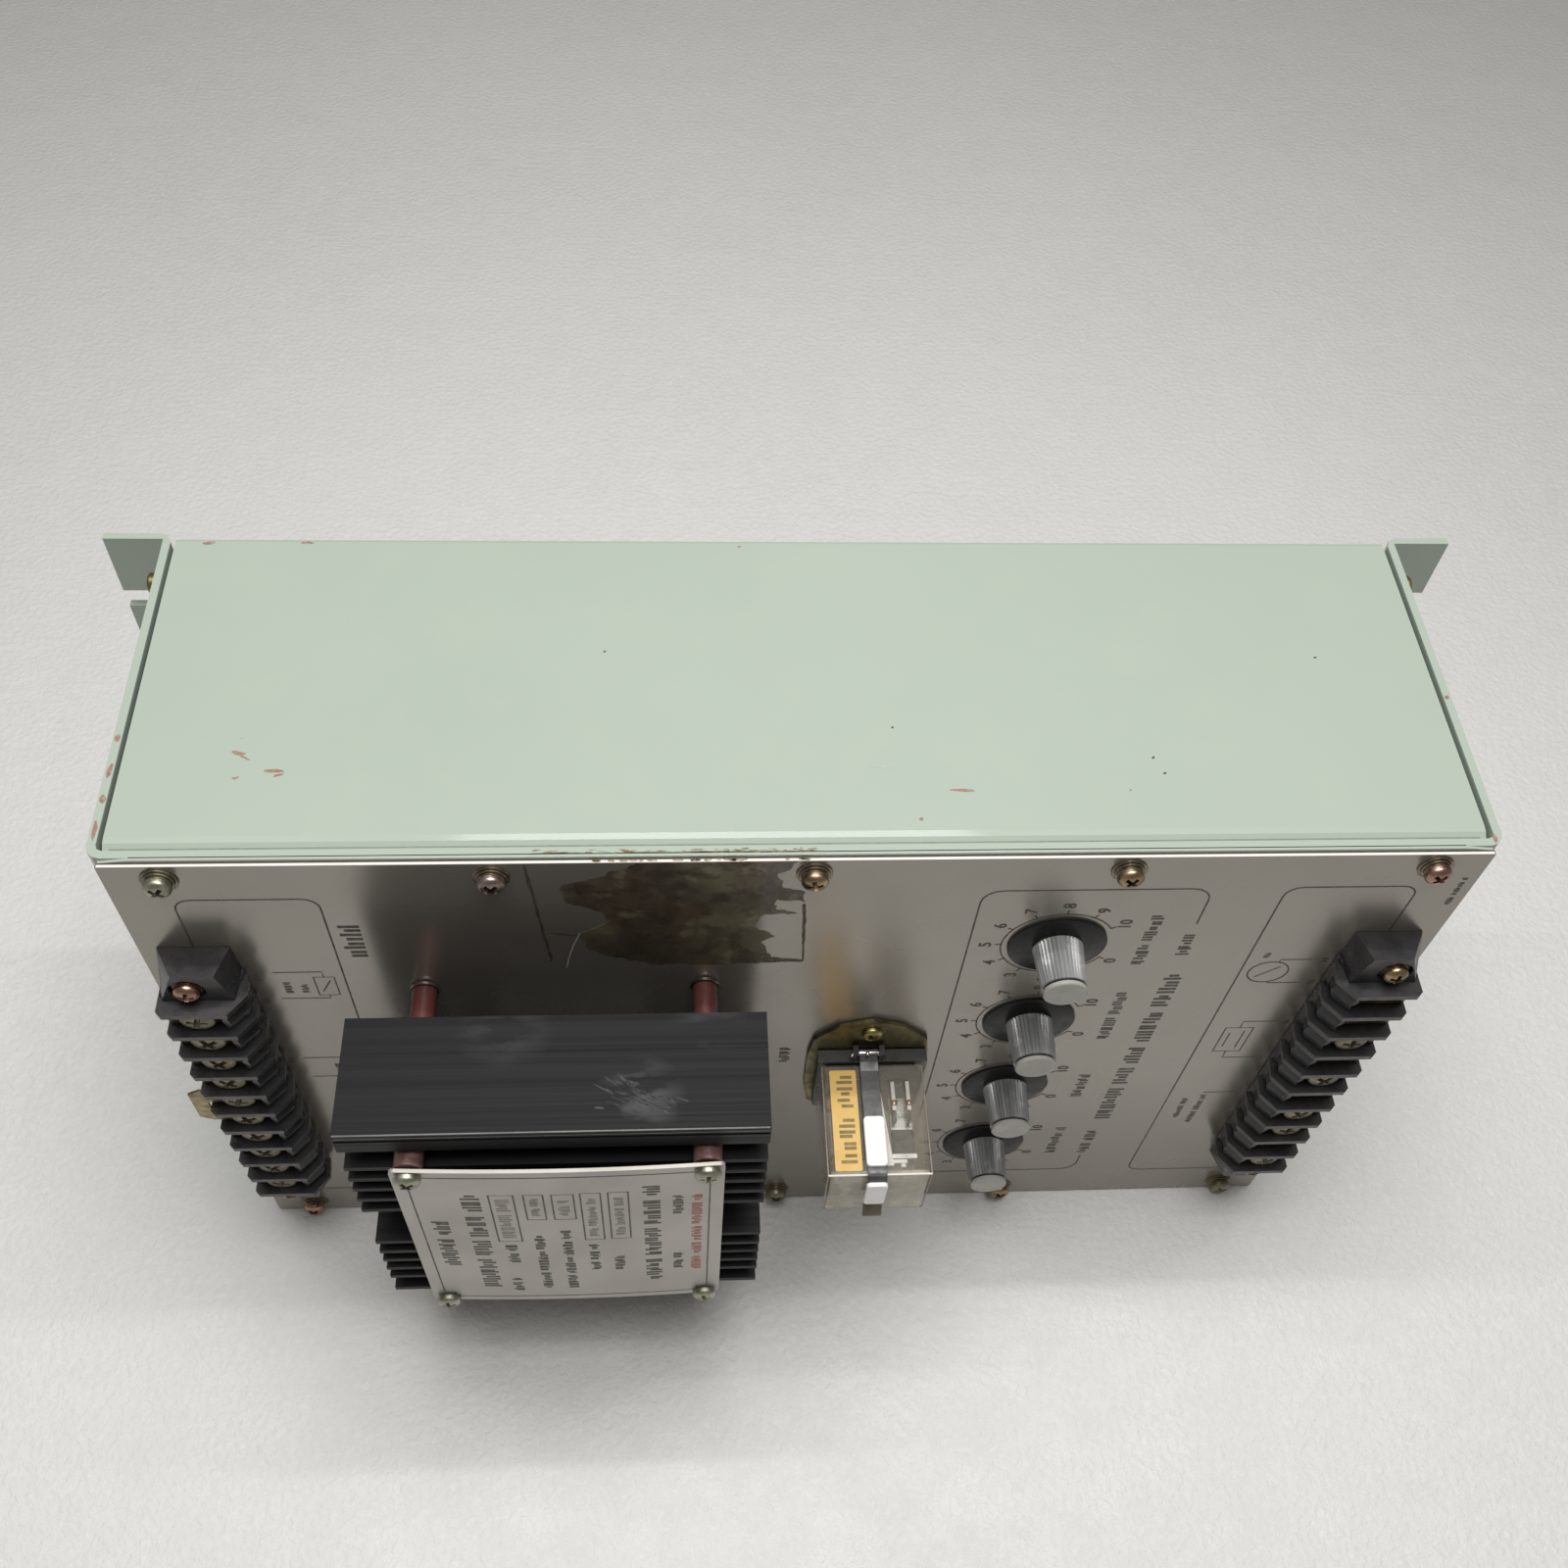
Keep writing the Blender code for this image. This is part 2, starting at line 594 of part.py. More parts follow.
def build_relay():
    base = node("relay_base", block((8.7, 33.1), (-11.0, SOCKET_FACE - 0.5),
                                    (86.0, 106.8)), BLACK)
    pins = []
    for x in PIN_COLUMNS:
        for z in PIN_ROWS:
            pins.append(block((x - 0.9, x + 0.9), (-8.5, -1.6), (z - 0.4, z + 0.4)))
    combine(base, "UNION", together(pins))
    posts = [block((x - 0.5, x + 0.5), (-22.0, -10.0), (102.0, 104.6))
             for x in (26.4, 30.4)]
    posts.append(block((10.6, 22.0), (-33.0, -10.0), (104.6, 105.8)))
    combine(base, "UNION", together(posts))

    mouth = (13.7, 11.7)
    end = (12.8, 11.2)
    case = node("relay_case", loft("Y", [(relay_ring(*mouth), RELAY_MOUTH),
                                         (relay_ring(*end), RELAY_FACE)]), CLEAR_CASE)
    inside = [(relay_ring(mouth[0] - CASE_T, mouth[1] - CASE_T), RELAY_MOUTH + 1),
              (relay_ring(end[0] - CASE_T, end[1] - CASE_T), RELAY_FACE + 1)]
    combine(case, "DIFFERENCE", loft("Y", inside))
    near, far = COIL_ENDS
    node("relay_coil", turned("Y", COIL_AXIS, [
        (0, near), (7.0, near), (7.0, near - 1.3), (6.0, near - 1.3), (6.0, far + 1.3),
        (7.0, far + 1.3), (7.0, far), (0, far),
    ], 14), COPPER, smooth=True)
    pin_y, pin_z = ARMATURE_PIN
    origin = (RELAY_X, pin_y, pin_z)
    arm = node("relay_armature", block((10.6, ARM_X[1]), (pin_y - 0.6, pin_y + 0.6),
                                       (88.0, pin_z)), STEEL, origin)
    combine(arm, "UNION", block(ARM_X, (pin_y - 0.3, -14.0), (99.6, 100.6)))


def build_clip():
    pin_y, pin_z = CLIP_PIN
    under = RELAY_Z + 12.2
    over_socket = SOCKET_Z[1] + 0.5
    top = under + CLIP_T
    end = CLIP_END
    path = [(pin_y + 0.8, over_socket), (-7.6, over_socket), (-9.6, under),
            (end + CLIP_T, under), (end + CLIP_T, 93.8), (end - 1.9, 89.5),
            (end - 2.6, 89.9), (end, 94.2), (end, top - 0.4), (end + 0.4, top),
            (-9.9, top), (-7.9, over_socket + CLIP_T), (pin_y - 0.6, over_socket + CLIP_T),
            (pin_y - 0.6, pin_z + 1.0), (pin_y + 0.8, pin_z + 1.0)]
    low = CLIP_X - CLIP_W / 2
    high = CLIP_X + CLIP_W / 2
    origin = (CLIP_X, pin_y, pin_z)
    clip = node("relay_clip", prism("X", path, low, high), STEEL, origin)
    combine(clip, "UNION", rod("X", CLIP_PIN, CLIP_PIN_R, low - 1.8, high + 1.8, 8))
    pads = [block((CLIP_X - 3, CLIP_X + 3), (-37.0, -23.4), (under - 0.1, top + 1.2)),
            block((CLIP_X - 3, CLIP_X + 3), (end - 1.2, end + 0.9), (95.0, 107.4))]
    combine(clip, "UNION", together(pads))


def build_knobs():
    skirt = PANEL_FACE - GAP
    bore = SHAFT_R + GAP
    for number, z in enumerate(KNOB_Z, 1):
        centre = (KNOB_X, z)
        origin = (KNOB_X, PANEL_FACE, z)
        node(f"knob_{number}", turned("Y", centre, [
            (0, KNOB_END), (4.7, KNOB_END), (5.3, KNOB_END + 0.4), (5.4, KNOB_END + 1.7),
            (6.2, skirt - 0.9), (SKIRT_R - 0.4, skirt - 0.6), (SKIRT_R, skirt - 0.3),
            (SKIRT_R, skirt), (bore, skirt), (bore, KNOB_BORE_END), (0, KNOB_BORE_END),
        ], 20), GREY_KNOB, origin, smooth=True)
        node(f"pot_shaft_{number}", rod("Y", centre, SHAFT_R, KNOB_BORE_END + GAP,
                                        SHAFT_BACK), STEEL, origin, smooth=True)
        node(f"potentiometer_{number}", turned("Y", centre, [
            (0, SHAFT_BACK + GAP), (bore, SHAFT_BACK + GAP), (bore, PANEL_FACE),
            (BUSHING_R, PANEL_FACE), (BUSHING_R, SHEET + GAP), (POT_R, SHEET + GAP),
            (POT_R, POT_BACK), (0, POT_BACK),
        ], 12), STEEL, smooth=True)


def build_inside():
    back = BOARD_FRONT + BOARD_T
    node("circuit_board", block((-154.0, 154.0), (BOARD_FRONT, back), (12.0, 188.0)),
         BOARD)
    core = node("transformer_core", block(CORE_X, CORE_Y, CORE_Z), STEEL)
    feet = [block((x, x + 6), (back + GAP, CORE_Y[0] + 1), (CORE_Z[0] + 5, CORE_Z[1] - 5))
            for x in (CORE_X[0] + 2, CORE_X[1] - 8)]
    combine(core, "UNION", together(feet))
    bar = CORE_BAR
    windows = [block((x, x + bar), (CORE_Y[0] - 2, CORE_Y[1] + 2),
                     (CORE_Z[0] + bar, CORE_Z[1] - bar))
               for x in (CORE_X[0] + bar, CORE_X[1] - 2 * bar)]
    combine(core, "DIFFERENCE", together(windows))
    coil = node("transformer_coil", block((CORE_X[0] + bar + GAP, CORE_X[1] - bar - GAP),
                                          COIL_Y, (CORE_Z[0] + bar + GAP,
                                                   CORE_Z[1] - bar - GAP)), TAPE)
    combine(coil, "DIFFERENCE", block((-bar - GAP, bar + GAP),
                                      (CORE_Y[0] - GAP, CORE_Y[1] + GAP), CORE_Z))


for old in list(bpy.data.objects):
    bpy.data.objects.remove(old)

build_case()
build_cover()
build_panel()
build_terminal_blocks()
build_heatsink()
build_nameplate()
build_power_module()
build_relay_socket()
build_relay()
build_clip()
build_knobs()
build_inside()
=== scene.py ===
"""Looks for a wall-mounting voltage regulator unit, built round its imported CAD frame.

Places are in millimetres from the chassis front face, as at() turns them into the frame:
x to the right, y into the case, z up.
"""

import math
import random

import bmesh
import bpy
from mathutils import Matrix, Vector


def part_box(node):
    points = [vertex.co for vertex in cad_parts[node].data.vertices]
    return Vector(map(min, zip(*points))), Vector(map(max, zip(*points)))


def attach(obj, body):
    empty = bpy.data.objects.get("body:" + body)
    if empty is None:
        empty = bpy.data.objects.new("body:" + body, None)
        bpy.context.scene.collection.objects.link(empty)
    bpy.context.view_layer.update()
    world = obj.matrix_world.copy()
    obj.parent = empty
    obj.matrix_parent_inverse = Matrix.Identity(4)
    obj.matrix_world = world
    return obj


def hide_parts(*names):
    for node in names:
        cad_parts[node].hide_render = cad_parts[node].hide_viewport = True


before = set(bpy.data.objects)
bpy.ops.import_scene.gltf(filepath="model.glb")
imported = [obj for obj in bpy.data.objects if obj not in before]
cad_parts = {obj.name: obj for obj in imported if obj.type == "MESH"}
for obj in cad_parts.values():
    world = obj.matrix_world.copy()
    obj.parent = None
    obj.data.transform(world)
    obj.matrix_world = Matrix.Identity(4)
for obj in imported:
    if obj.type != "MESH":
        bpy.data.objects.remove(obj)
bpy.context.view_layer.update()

MM = 0.001
UNIT = "unit"
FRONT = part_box("chassis")[0].y
FACE = (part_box("front_panel")[0].y - FRONT) / MM
INK_T = 0.05
HUB = 0.02  # radius at which a turned profile meets its axis
BORE = 1.7  # hole in washers and tubes
PANEL_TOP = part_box("front_panel")[1].z / MM
RIM_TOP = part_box("chassis")[1].z / MM


def at(x, y, z):
    return Vector((x, y, z)) * MM + Vector((0, FRONT, 0))


def local(node):
    """A CAD node's box in millimetres from the chassis front face."""
    low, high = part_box(node)
    shift = Vector((0, FRONT, 0))
    return (low - shift) / MM, (high - shift) / MM


def middle(node):
    low, high = local(node)
    return (low + high) / 2


# Materials


class Look:
    """A node material with noise fields in the piece's own coordinates."""

    def __init__(self, name, colour, roughness, metallic=0.0, **sockets):
        self.material = bpy.data.materials.new(name)
        self.material.use_nodes = True
        self.nodes = self.material.node_tree.nodes
        self.links = self.material.node_tree.links
        self.shader = self.nodes["Principled BSDF"]
        self.set("Base Color", (*colour, 1.0))
        self.set("Roughness", roughness)
        self.set("Metallic", metallic)
        for socket, value in sockets.items():
            self.set(socket.replace("_", " "), value)
        self.colour = colour
        self.coords = self.nodes.new("ShaderNodeTexCoord").outputs["Object"]

    def set(self, socket, value):
        self.shader.inputs[socket].default_value = value

    def link(self, output, socket):
        self.links.new(output, self.shader.inputs[socket])

    def noise(self, scale, stretch=(1, 1, 1), detail=4.0, low=0.36, high=0.64, shift=0):
        """A noise field from 0 to 1; scale is in features per metre."""
        mapping = self.nodes.new("ShaderNodeMapping")
        mapping.inputs["Scale"].default_value = stretch
        mapping.inputs["Location"].default_value = (shift, shift * 2, shift * 3)
        self.links.new(self.coords, mapping.inputs["Vector"])
        noise = self.nodes.new("ShaderNodeTexNoise")
        noise.inputs["Scale"].default_value = scale
        noise.inputs["Detail"].default_value = detail
        self.links.new(mapping.outputs["Vector"], noise.inputs["Vector"])
        return self.spread(noise.outputs["Fac"], low, high)

    def spread(self, value, low, high, to_low=0.0, to_high=1.0):
        node = self.nodes.new("ShaderNodeMapRange")
        node.inputs["From Min"].default_value = low
        node.inputs["From Max"].default_value = high
        node.inputs["To Min"].default_value = to_low
        node.inputs["To Max"].default_value = to_high
        self.links.new(value, node.inputs["Value"])
        return node.outputs["Result"]

    def axis(self, name, low, high, to_low=0.0, to_high=1.0):
        """A ramp along an axis between two places in metres."""
        split = self.nodes.new("ShaderNodeSeparateXYZ")
        self.links.new(self.coords, split.inputs["Vector"])
        return self.spread(split.outputs[name], low, high, to_low, to_high)

    def spot(self, centre, inner, outer):
        """1 inside a ball round a point, falling to 0 outside it."""
        away = self.nodes.new("ShaderNodeVectorMath")
        away.operation = "DISTANCE"
        away.inputs[1].default_value = centre
        self.links.new(self.coords, away.inputs[0])
        return self.spread(away.outputs["Value"], inner, outer, 1.0, 0.0)

    def combine(self, operation, *values):
        """Two fields, or a field and a number, as one field."""
        node = self.nodes.new("ShaderNodeMath")
        node.operation = operation
        for socket, value in zip(node.inputs, values):
            if isinstance(value, float):
                socket.default_value = value
            else:
                self.links.new(value, socket)
        return node.outputs["Value"]

    def tint(self, field, colour, amount=1.0):
        """Mixes a colour in where a field is high."""
        mix = self.nodes.new("ShaderNodeMix")
        mix.data_type = "RGBA"
        self.links.new(self.combine("MULTIPLY", field, amount), mix.inputs["Factor"])
        base = self.shader.inputs["Base Color"]
        if base.is_linked:
            self.links.new(base.links[0].from_socket, mix.inputs["A"])
        else:
            mix.inputs["A"].default_value = (*self.colour, 1.0)
        mix.inputs["B"].default_value = (*colour, 1.0)
        self.link(mix.outputs["Result"], "Base Color")
        return self

    def vary(self, socket, field, low, high):
        self.link(self.spread(field, 0.0, 1.0, low, high), socket)
        return self

    def bump(self, field, depth):
        """Relief of a depth in millimetres, added to what is there."""
        node = self.nodes.new("ShaderNodeBump")
        node.inputs["Distance"].default_value = depth * MM
        node.inputs["Strength"].default_value = 1.0
        self.links.new(field, node.inputs["Height"])
        normal = self.shader.inputs["Normal"]
        if normal.is_linked:
            self.links.new(normal.links[0].from_socket, node.inputs["Normal"])
        self.link(node.outputs["Normal"], "Normal")
        return self


def metal_look(name, colour, dark, roughness=0.32, metallic=0.95):
    """Plated or bare metal with tarnish in soft patches."""
    look = Look(name, colour, roughness, metallic)
    look.tint(look.noise(260, detail=5), dark, 0.75)
    look.vary("Roughness", look.noise(420, shift=3), roughness * 0.8, roughness * 1.5)
    look.bump(look.noise(1600, shift=1), 0.01)
    return look.material


def plastic_look(name, colour, dust, roughness=0.42, grain=0.012, shine=0.5):
    look = Look(name, colour, roughness, Specular_IOR_Level=shine)
    look.tint(look.noise(90, detail=6), dust, 0.5)
    look.vary("Roughness", look.noise(300, shift=2), roughness * 0.75, roughness * 1.3)
    look.bump(look.noise(2600, shift=5), grain)
    return look.material


def paint_look():
    look = Look("green_enamel", (0.398, 0.46, 0.398), 0.5, Coat_Weight=0.55,
                Coat_Roughness=0.06, Specular_IOR_Level=0.25)
    look.tint(look.noise(9, detail=3), (0.37, 0.43, 0.37), 0.45)
    look.tint(look.noise(55, detail=6, low=0.52, high=0.75), (0.42, 0.475, 0.415), 0.4)
    look.vary("Roughness", look.noise(30, shift=4), 0.45, 0.58)
    look.bump(look.noise(620, detail=2), 0.005)
    look.bump(look.noise(45, detail=2, shift=6), 0.02)
    return look.material


def panel_look():
    """Satin aluminium, smooth, with faint broad water marks."""
    look = Look("satin_aluminium", (0.33, 0.305, 0.268), 0.24, 0.6)
    look.tint(look.noise(12, detail=3), (0.30, 0.275, 0.238), 0.6)
    look.tint(look.noise(45, detail=2, shift=3), (0.35, 0.325, 0.29), 0.35)
    look.vary("Roughness", look.noise(25, detail=3, shift=2), 0.23, 0.29)
    return look.material


def heatsink_look():
    """Black anodising with extrusion lines along x, and feathery rubbed patches.

    A patch is given from the right and front edges in mm, with its reach in metres.
    """
    look = Look("black_anodising", (0.011, 0.011, 0.012), 0.55, Specular_IOR_Level=0.16)
    look.tint(look.noise(8, stretch=(0.3, 45, 45), detail=7, low=0.4, high=0.62),
              (0.018, 0.018, 0.0195), 0.7)
    look.tint(look.noise(10, stretch=(0.5, 90, 90), detail=6, low=0.55, high=0.7, shift=2),
              (0.006, 0.006, 0.007), 0.8)
    low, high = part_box("heatsink")
    for along, deep, reach, shift, share in ((30, 8.5, 0.011, 7, 0.8), (62, 26, 0.012, 9, 0.35),
                                             (14, 27, 0.010, 4, 0.35)):
        rubbed = (high.x - along * MM, low.y + deep * MM, high.z)
        strokes = look.noise(210, stretch=(0.35, 1.0, 1), detail=8, low=0.47, high=0.62,
                             shift=shift)
        patch = look.combine("MULTIPLY", look.spot(rubbed, reach * 0.2, reach), strokes)
        look.tint(patch, (0.085, 0.085, 0.088), share)
    look.vary("Roughness", look.noise(30, stretch=(0.3, 40, 40)), 0.42, 0.6)
    look.bump(look.noise(10, stretch=(0.3, 70, 70), detail=5), 0.008)
    return look.material


def pillar_look():
    look = Look("phenolic_tube", (0.105, 0.030, 0.026), 0.36, Coat_Weight=0.2)
    look.tint(look.noise(240, stretch=(1, 0.2, 1), detail=5), (0.052, 0.02, 0.018), 0.85)
    look.vary("Roughness", look.noise(500), 0.28, 0.42)
    look.bump(look.noise(900, stretch=(1, 0.2, 1)), 0.015)
    return look.material


def spacer_look():
    look = Look("phenolic_spacer", (0.10, 0.04, 0.036), 0.5)
    look.tint(look.noise(420, detail=6), (0.24, 0.15, 0.14), 0.6)
    look.vary("Roughness", look.noise(500), 0.35, 0.55)
    look.bump(look.noise(1200), 0.03)
    return look.material


def clear_look():
    """Yellowed clear plastic, more opaque where it is seen edge-on, and more opaque at its end
    wall as a painted reflection of the bright floor.
    """
    look = Look("clear_plastic", (0.47, 0.415, 0.31), 0.1, Specular_IOR_Level=0.65)
    weight = look.nodes.new("ShaderNodeLayerWeight")
    weight.inputs["Blend"].default_value = 0.2
    rim = look.spread(weight.outputs["Facing"], 0.0, 1.0, 0.1, 0.5)
    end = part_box("relay_case")[0].y
    wall = look.axis("Y", end + 0.9 * MM, end + 1.6 * MM, 1.0, 0.0)
    # A pale, more opaque end wall: painted reflection of the bright floor.
    end_reflection = look.spread(look.noise(170, stretch=(1, 1, 0.4), detail=5, shift=6), 0, 1, 0.42, 0.8)
    look.link(look.combine("MAXIMUM", rim, look.combine("MULTIPLY", wall, end_reflection)), "Alpha")
    look.tint(look.noise(230, detail=5, low=0.45, high=0.62), (0.60, 0.555, 0.455), 0.7)
    look.bump(look.noise(300, detail=3), 0.01)
    return look.material


def knob_look():
    """Silver-grey knurled grip, rubbed paler along the ridges."""
    look = Look("knob_grey", (0.25, 0.253, 0.255), 0.38, 0.3)
    streaks = look.noise(620, stretch=(1, 0.04, 1), detail=5, low=0.42, high=0.6)
    look.tint(streaks, (0.40, 0.405, 0.405), 0.6)
    look.tint(look.noise(300, detail=6, low=0.57, high=0.68, shift=5), (0.52, 0.52, 0.515), 0.55)
    look.vary("Roughness", streaks, 0.3, 0.46)
    look.bump(look.noise(1800, shift=2), 0.008)
    return look.material


def plate_look():
    """Dull nameplate aluminium, greyer in broad soft areas."""
    look = Look("nameplate", (0.455, 0.43, 0.392), 0.42, 0.4)
    look.tint(look.noise(30, detail=3), (0.41, 0.385, 0.348), 0.6)
    look.tint(look.noise(420, detail=4, low=0.5, high=0.7), (0.45, 0.43, 0.395), 0.3)
    look.vary("Roughness", look.noise(60), 0.36, 0.48)
    look.bump(look.noise(1500, detail=2), 0.003)
    return look.material


def ink_look(name, colour, worn, thin=None):
    """Printed or worn colour; thin is how see-through its thinnest places are."""
    look = Look(name, colour, 0.55)
    look.tint(look.noise(420, detail=6), worn, 0.55)
    if thin is not None:
        look.vary("Alpha", look.noise(900, detail=4, shift=9), thin, 0.95)
    look.vary("Roughness", look.noise(600), 0.45, 0.7)
    look.bump(look.noise(2500), 0.005)
    return look.material


def stain_look():
    """Dried adhesive: olive and brown films, thin enough in places to see through."""
    look = Look("dried_adhesive", (0.115, 0.088, 0.058), 0.42)
    patches = look.noise(60, detail=7, low=0.44, high=0.58)
    look.tint(patches, (0.165, 0.145, 0.085), 0.85)
    look.tint(look.noise(190, detail=6, low=0.5, high=0.6, shift=8), (0.07, 0.052, 0.034), 0.75)
    look.tint(look.noise(120, detail=8, low=0.6, high=0.66, shift=5), (0.28, 0.25, 0.16), 0.5)
    look.vary("Alpha", look.noise(42, detail=7, low=0.4, high=0.56, shift=3), 0.5, 0.96)
    look.vary("Roughness", patches, 0.28, 0.6)
    look.bump(look.noise(380, detail=6, shift=4), 0.06)
    return look.material


def rub_look():
    """Thin grey rubbing over black, patchy along its strokes."""
    look = Look("grey_rub", (0.115, 0.115, 0.118), 0.6, Specular_IOR_Level=0.2)
    look.tint(look.noise(500, detail=4), (0.075, 0.075, 0.078), 0.6)
    look.vary("Alpha", look.noise(330, detail=5, low=0.4, high=0.6, shift=2), 0.05, 0.6)
    look.vary("Roughness", look.noise(200), 0.5, 0.7)
    look.bump(look.noise(900), 0.002)
    return look.material


def floor_look():
    look = Look("pale_floor", (0.80, 0.795, 0.785), 0.6)
    look.tint(look.noise(5, detail=4), (0.76, 0.757, 0.75), 0.7)
    look.tint(look.noise(130, detail=6), (0.83, 0.825, 0.82), 0.5)
    look.vary("Roughness", look.noise(40), 0.5, 0.7)
    look.tint(look.noise(420, detail=3, low=0.5, high=0.7), (0.86, 0.858, 0.85), 0.5)
    look.bump(look.noise(430, detail=3), 0.2)
    return look.material


LOOKS = {
    "paint": paint_look(),
    "panel": panel_look(),
    "heatsink": heatsink_look(),
    "pillar": pillar_look(),
    "spacer": spacer_look(),
    "clear": clear_look(),
    "knob": knob_look(),
    "ink": ink_look("panel_ink", (0.052, 0.042, 0.034), (0.12, 0.105, 0.09)),
    "faint_ink": ink_look("faint_ink", (0.06, 0.052, 0.044), (0.13, 0.115, 0.10)),
    "stamp": ink_look("stamped_shade", (0.27, 0.25, 0.22), (0.36, 0.335, 0.30)),
    "red_ink": ink_look("red_ink", (0.42, 0.14, 0.10), (0.52, 0.26, 0.2)),
    "label_ink": ink_look("label_ink", (0.20, 0.15, 0.05), (0.32, 0.23, 0.08)),
    "primer": ink_look("red_primer", (0.37, 0.135, 0.11), (0.44, 0.32, 0.27), 0.25),
    "scuff": ink_look("grey_scuff", (0.36, 0.42, 0.38), (0.45, 0.52, 0.47)),
    "stain": stain_look(),
    "black": plastic_look("black_moulding", (0.026, 0.025, 0.027), (0.055, 0.053, 0.052), 0.33),
    "gloss_black": plastic_look("black_skirt", (0.008, 0.008, 0.009),
                                (0.016, 0.015, 0.014), 0.27, 0.004, 0.16),
    "label": plastic_look("amber_label", (0.70, 0.44, 0.115), (0.76, 0.52, 0.2), 0.5),
    "white": plastic_look("white_pad", (0.93, 0.93, 0.92), (0.88, 0.88, 0.86), 0.35),
    "cap": plastic_look("pale_cap", (0.42, 0.415, 0.38), (0.30, 0.29, 0.26), 0.35),
    "tape": plastic_look("yellow_tape", (0.55, 0.42, 0.12), (0.45, 0.33, 0.1), 0.5),
    "board": plastic_look("board", (0.05, 0.10, 0.045), (0.07, 0.13, 0.06), 0.4),
    "bronze": metal_look("bronze_screw", (0.43, 0.31, 0.19), (0.15, 0.11, 0.065), 0.27),
    "copper": metal_look("copper_screw", (0.48, 0.30, 0.235), (0.20, 0.11, 0.085), 0.25),
    "mauve": metal_look("dull_copper_screw", (0.40, 0.31, 0.28), (0.15, 0.11, 0.095), 0.28),
    "brown_washer": metal_look("brown_washer", (0.34, 0.28, 0.21), (0.10, 0.075, 0.05), 0.32),
    "olive": metal_look("olive_terminal", (0.30, 0.28, 0.21), (0.14, 0.125, 0.08), 0.42),
    "grey_screw": metal_look("grey_screw", (0.42, 0.42, 0.34), (0.21, 0.20, 0.14), 0.34),
    # A darker copy of the yellow zinc: painted shade on the relay's mounting plate.
    "shaded_zinc": metal_look("shaded_zinc", (0.23, 0.205, 0.105), (0.085, 0.072, 0.035), 0.36),
    # Brown ink for the adhesive's outline, also used as painted shade in the gap behind the
    # panel's top edge.
    "brown_line": ink_look("brown_line", (0.055, 0.034, 0.024), (0.11, 0.08, 0.055)),
    "grime": ink_look("brown_grime", (0.25, 0.185, 0.11), (0.40, 0.35, 0.22), 0.3),
    # A near-white strip: painted highlight on the panel's top edge.
    "polish": plastic_look("painted_highlight_strip", (0.84, 0.82, 0.78), (0.70, 0.68, 0.64), 0.2, 0.002),
    # Painted shade in the seam between the rim and the cover.
    "seam": ink_look("seam_shade_strip", (0.19, 0.225, 0.175), (0.25, 0.29, 0.235)),
    "rub": rub_look(),
    "zinc": metal_look("yellow_zinc", (0.40, 0.35, 0.16), (0.16, 0.13, 0.05), 0.34),
    # Painted highlight along the heatsink's front edges.
    "worn_edge": plastic_look("worn_edge", (0.19, 0.19, 0.19), (0.05, 0.05, 0.05), 0.4),
    "link": metal_look("link_plate", (0.34, 0.29, 0.16), (0.16, 0.12, 0.06), 0.4),
    "steel": metal_look("steel", (0.50, 0.50, 0.50), (0.36, 0.35, 0.34), 0.3),
    "leaf": metal_look("clip_leaf", (0.115, 0.115, 0.12), (0.075, 0.072, 0.07), 0.4, 0.6),
    # Silver for the contacts, also a painted highlight along the relay case's far edge.
    "silver": plastic_look("contact_silver", (0.80, 0.78, 0.74), (0.68, 0.65, 0.6), 0.25),
    "case_edge": plastic_look("case_edge", (0.19, 0.145, 0.10), (0.30, 0.25, 0.19), 0.25),
    # Painted glints on the clip's bends.
    "glint": metal_look("painted_glint_pin", (0.95, 0.94, 0.92), (0.8, 0.78, 0.75), 0.12),
    "card": plastic_look("black_card", (0.010, 0.011, 0.016), (0.03, 0.03, 0.036), 0.3),
    "tip": metal_look("tarnished_tip", (0.17, 0.145, 0.10), (0.09, 0.075, 0.05), 0.45, 0.4),
    "plate": plate_look(),
    "winding": metal_look("winding", (0.55, 0.22, 0.12), (0.35, 0.12, 0.06), 0.4, 0.5),
}


# Meshes


def closed_mesh(name, verts, faces):
    """A mesh with its faces turned outwards."""
    mesh = bpy.data.meshes.new(name)
    mesh.from_pydata(verts, [], faces)
    built = bmesh.new()
    built.from_mesh(mesh)
    bmesh.ops.recalc_face_normals(built, faces=built.faces)
    built.to_mesh(mesh)
    built.free()
    return mesh


def shown(name, data):
    obj = bpy.data.objects.new(name, data)
    bpy.context.scene.collection.objects.link(obj)
    return obj


def dress(name, mesh, look, body=UNIT, smooth=None, slot=None, replaces=()):
    obj = shown(name, mesh)
    if not mesh.materials:
        mesh.materials.append(LOOKS[look])
    if smooth is not None:
        mesh.shade_smooth()
        split = obj.modifiers.new("edges", "EDGE_SPLIT")
        split.split_angle = math.radians(smooth)
    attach(obj, body)
    if replaces:
        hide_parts(*replaces)
    return obj


def piece(name, verts, faces, look, body=UNIT, **say):
    """A piece from points in the frame; its body and replaced nodes are said with it, and a slot
    said with it is not used.
    """
    return dress(name, closed_mesh(name, verts, faces), look, body, **say)


def ring(radius, along, segments):
    """Points of a circle in the XZ plane at a place along Y."""
    points = []
    for i in range(segments):
        angle = 2 * math.pi * i / segments
        points.append(Vector((radius * math.cos(angle), along, radius * math.sin(angle))))
    return points


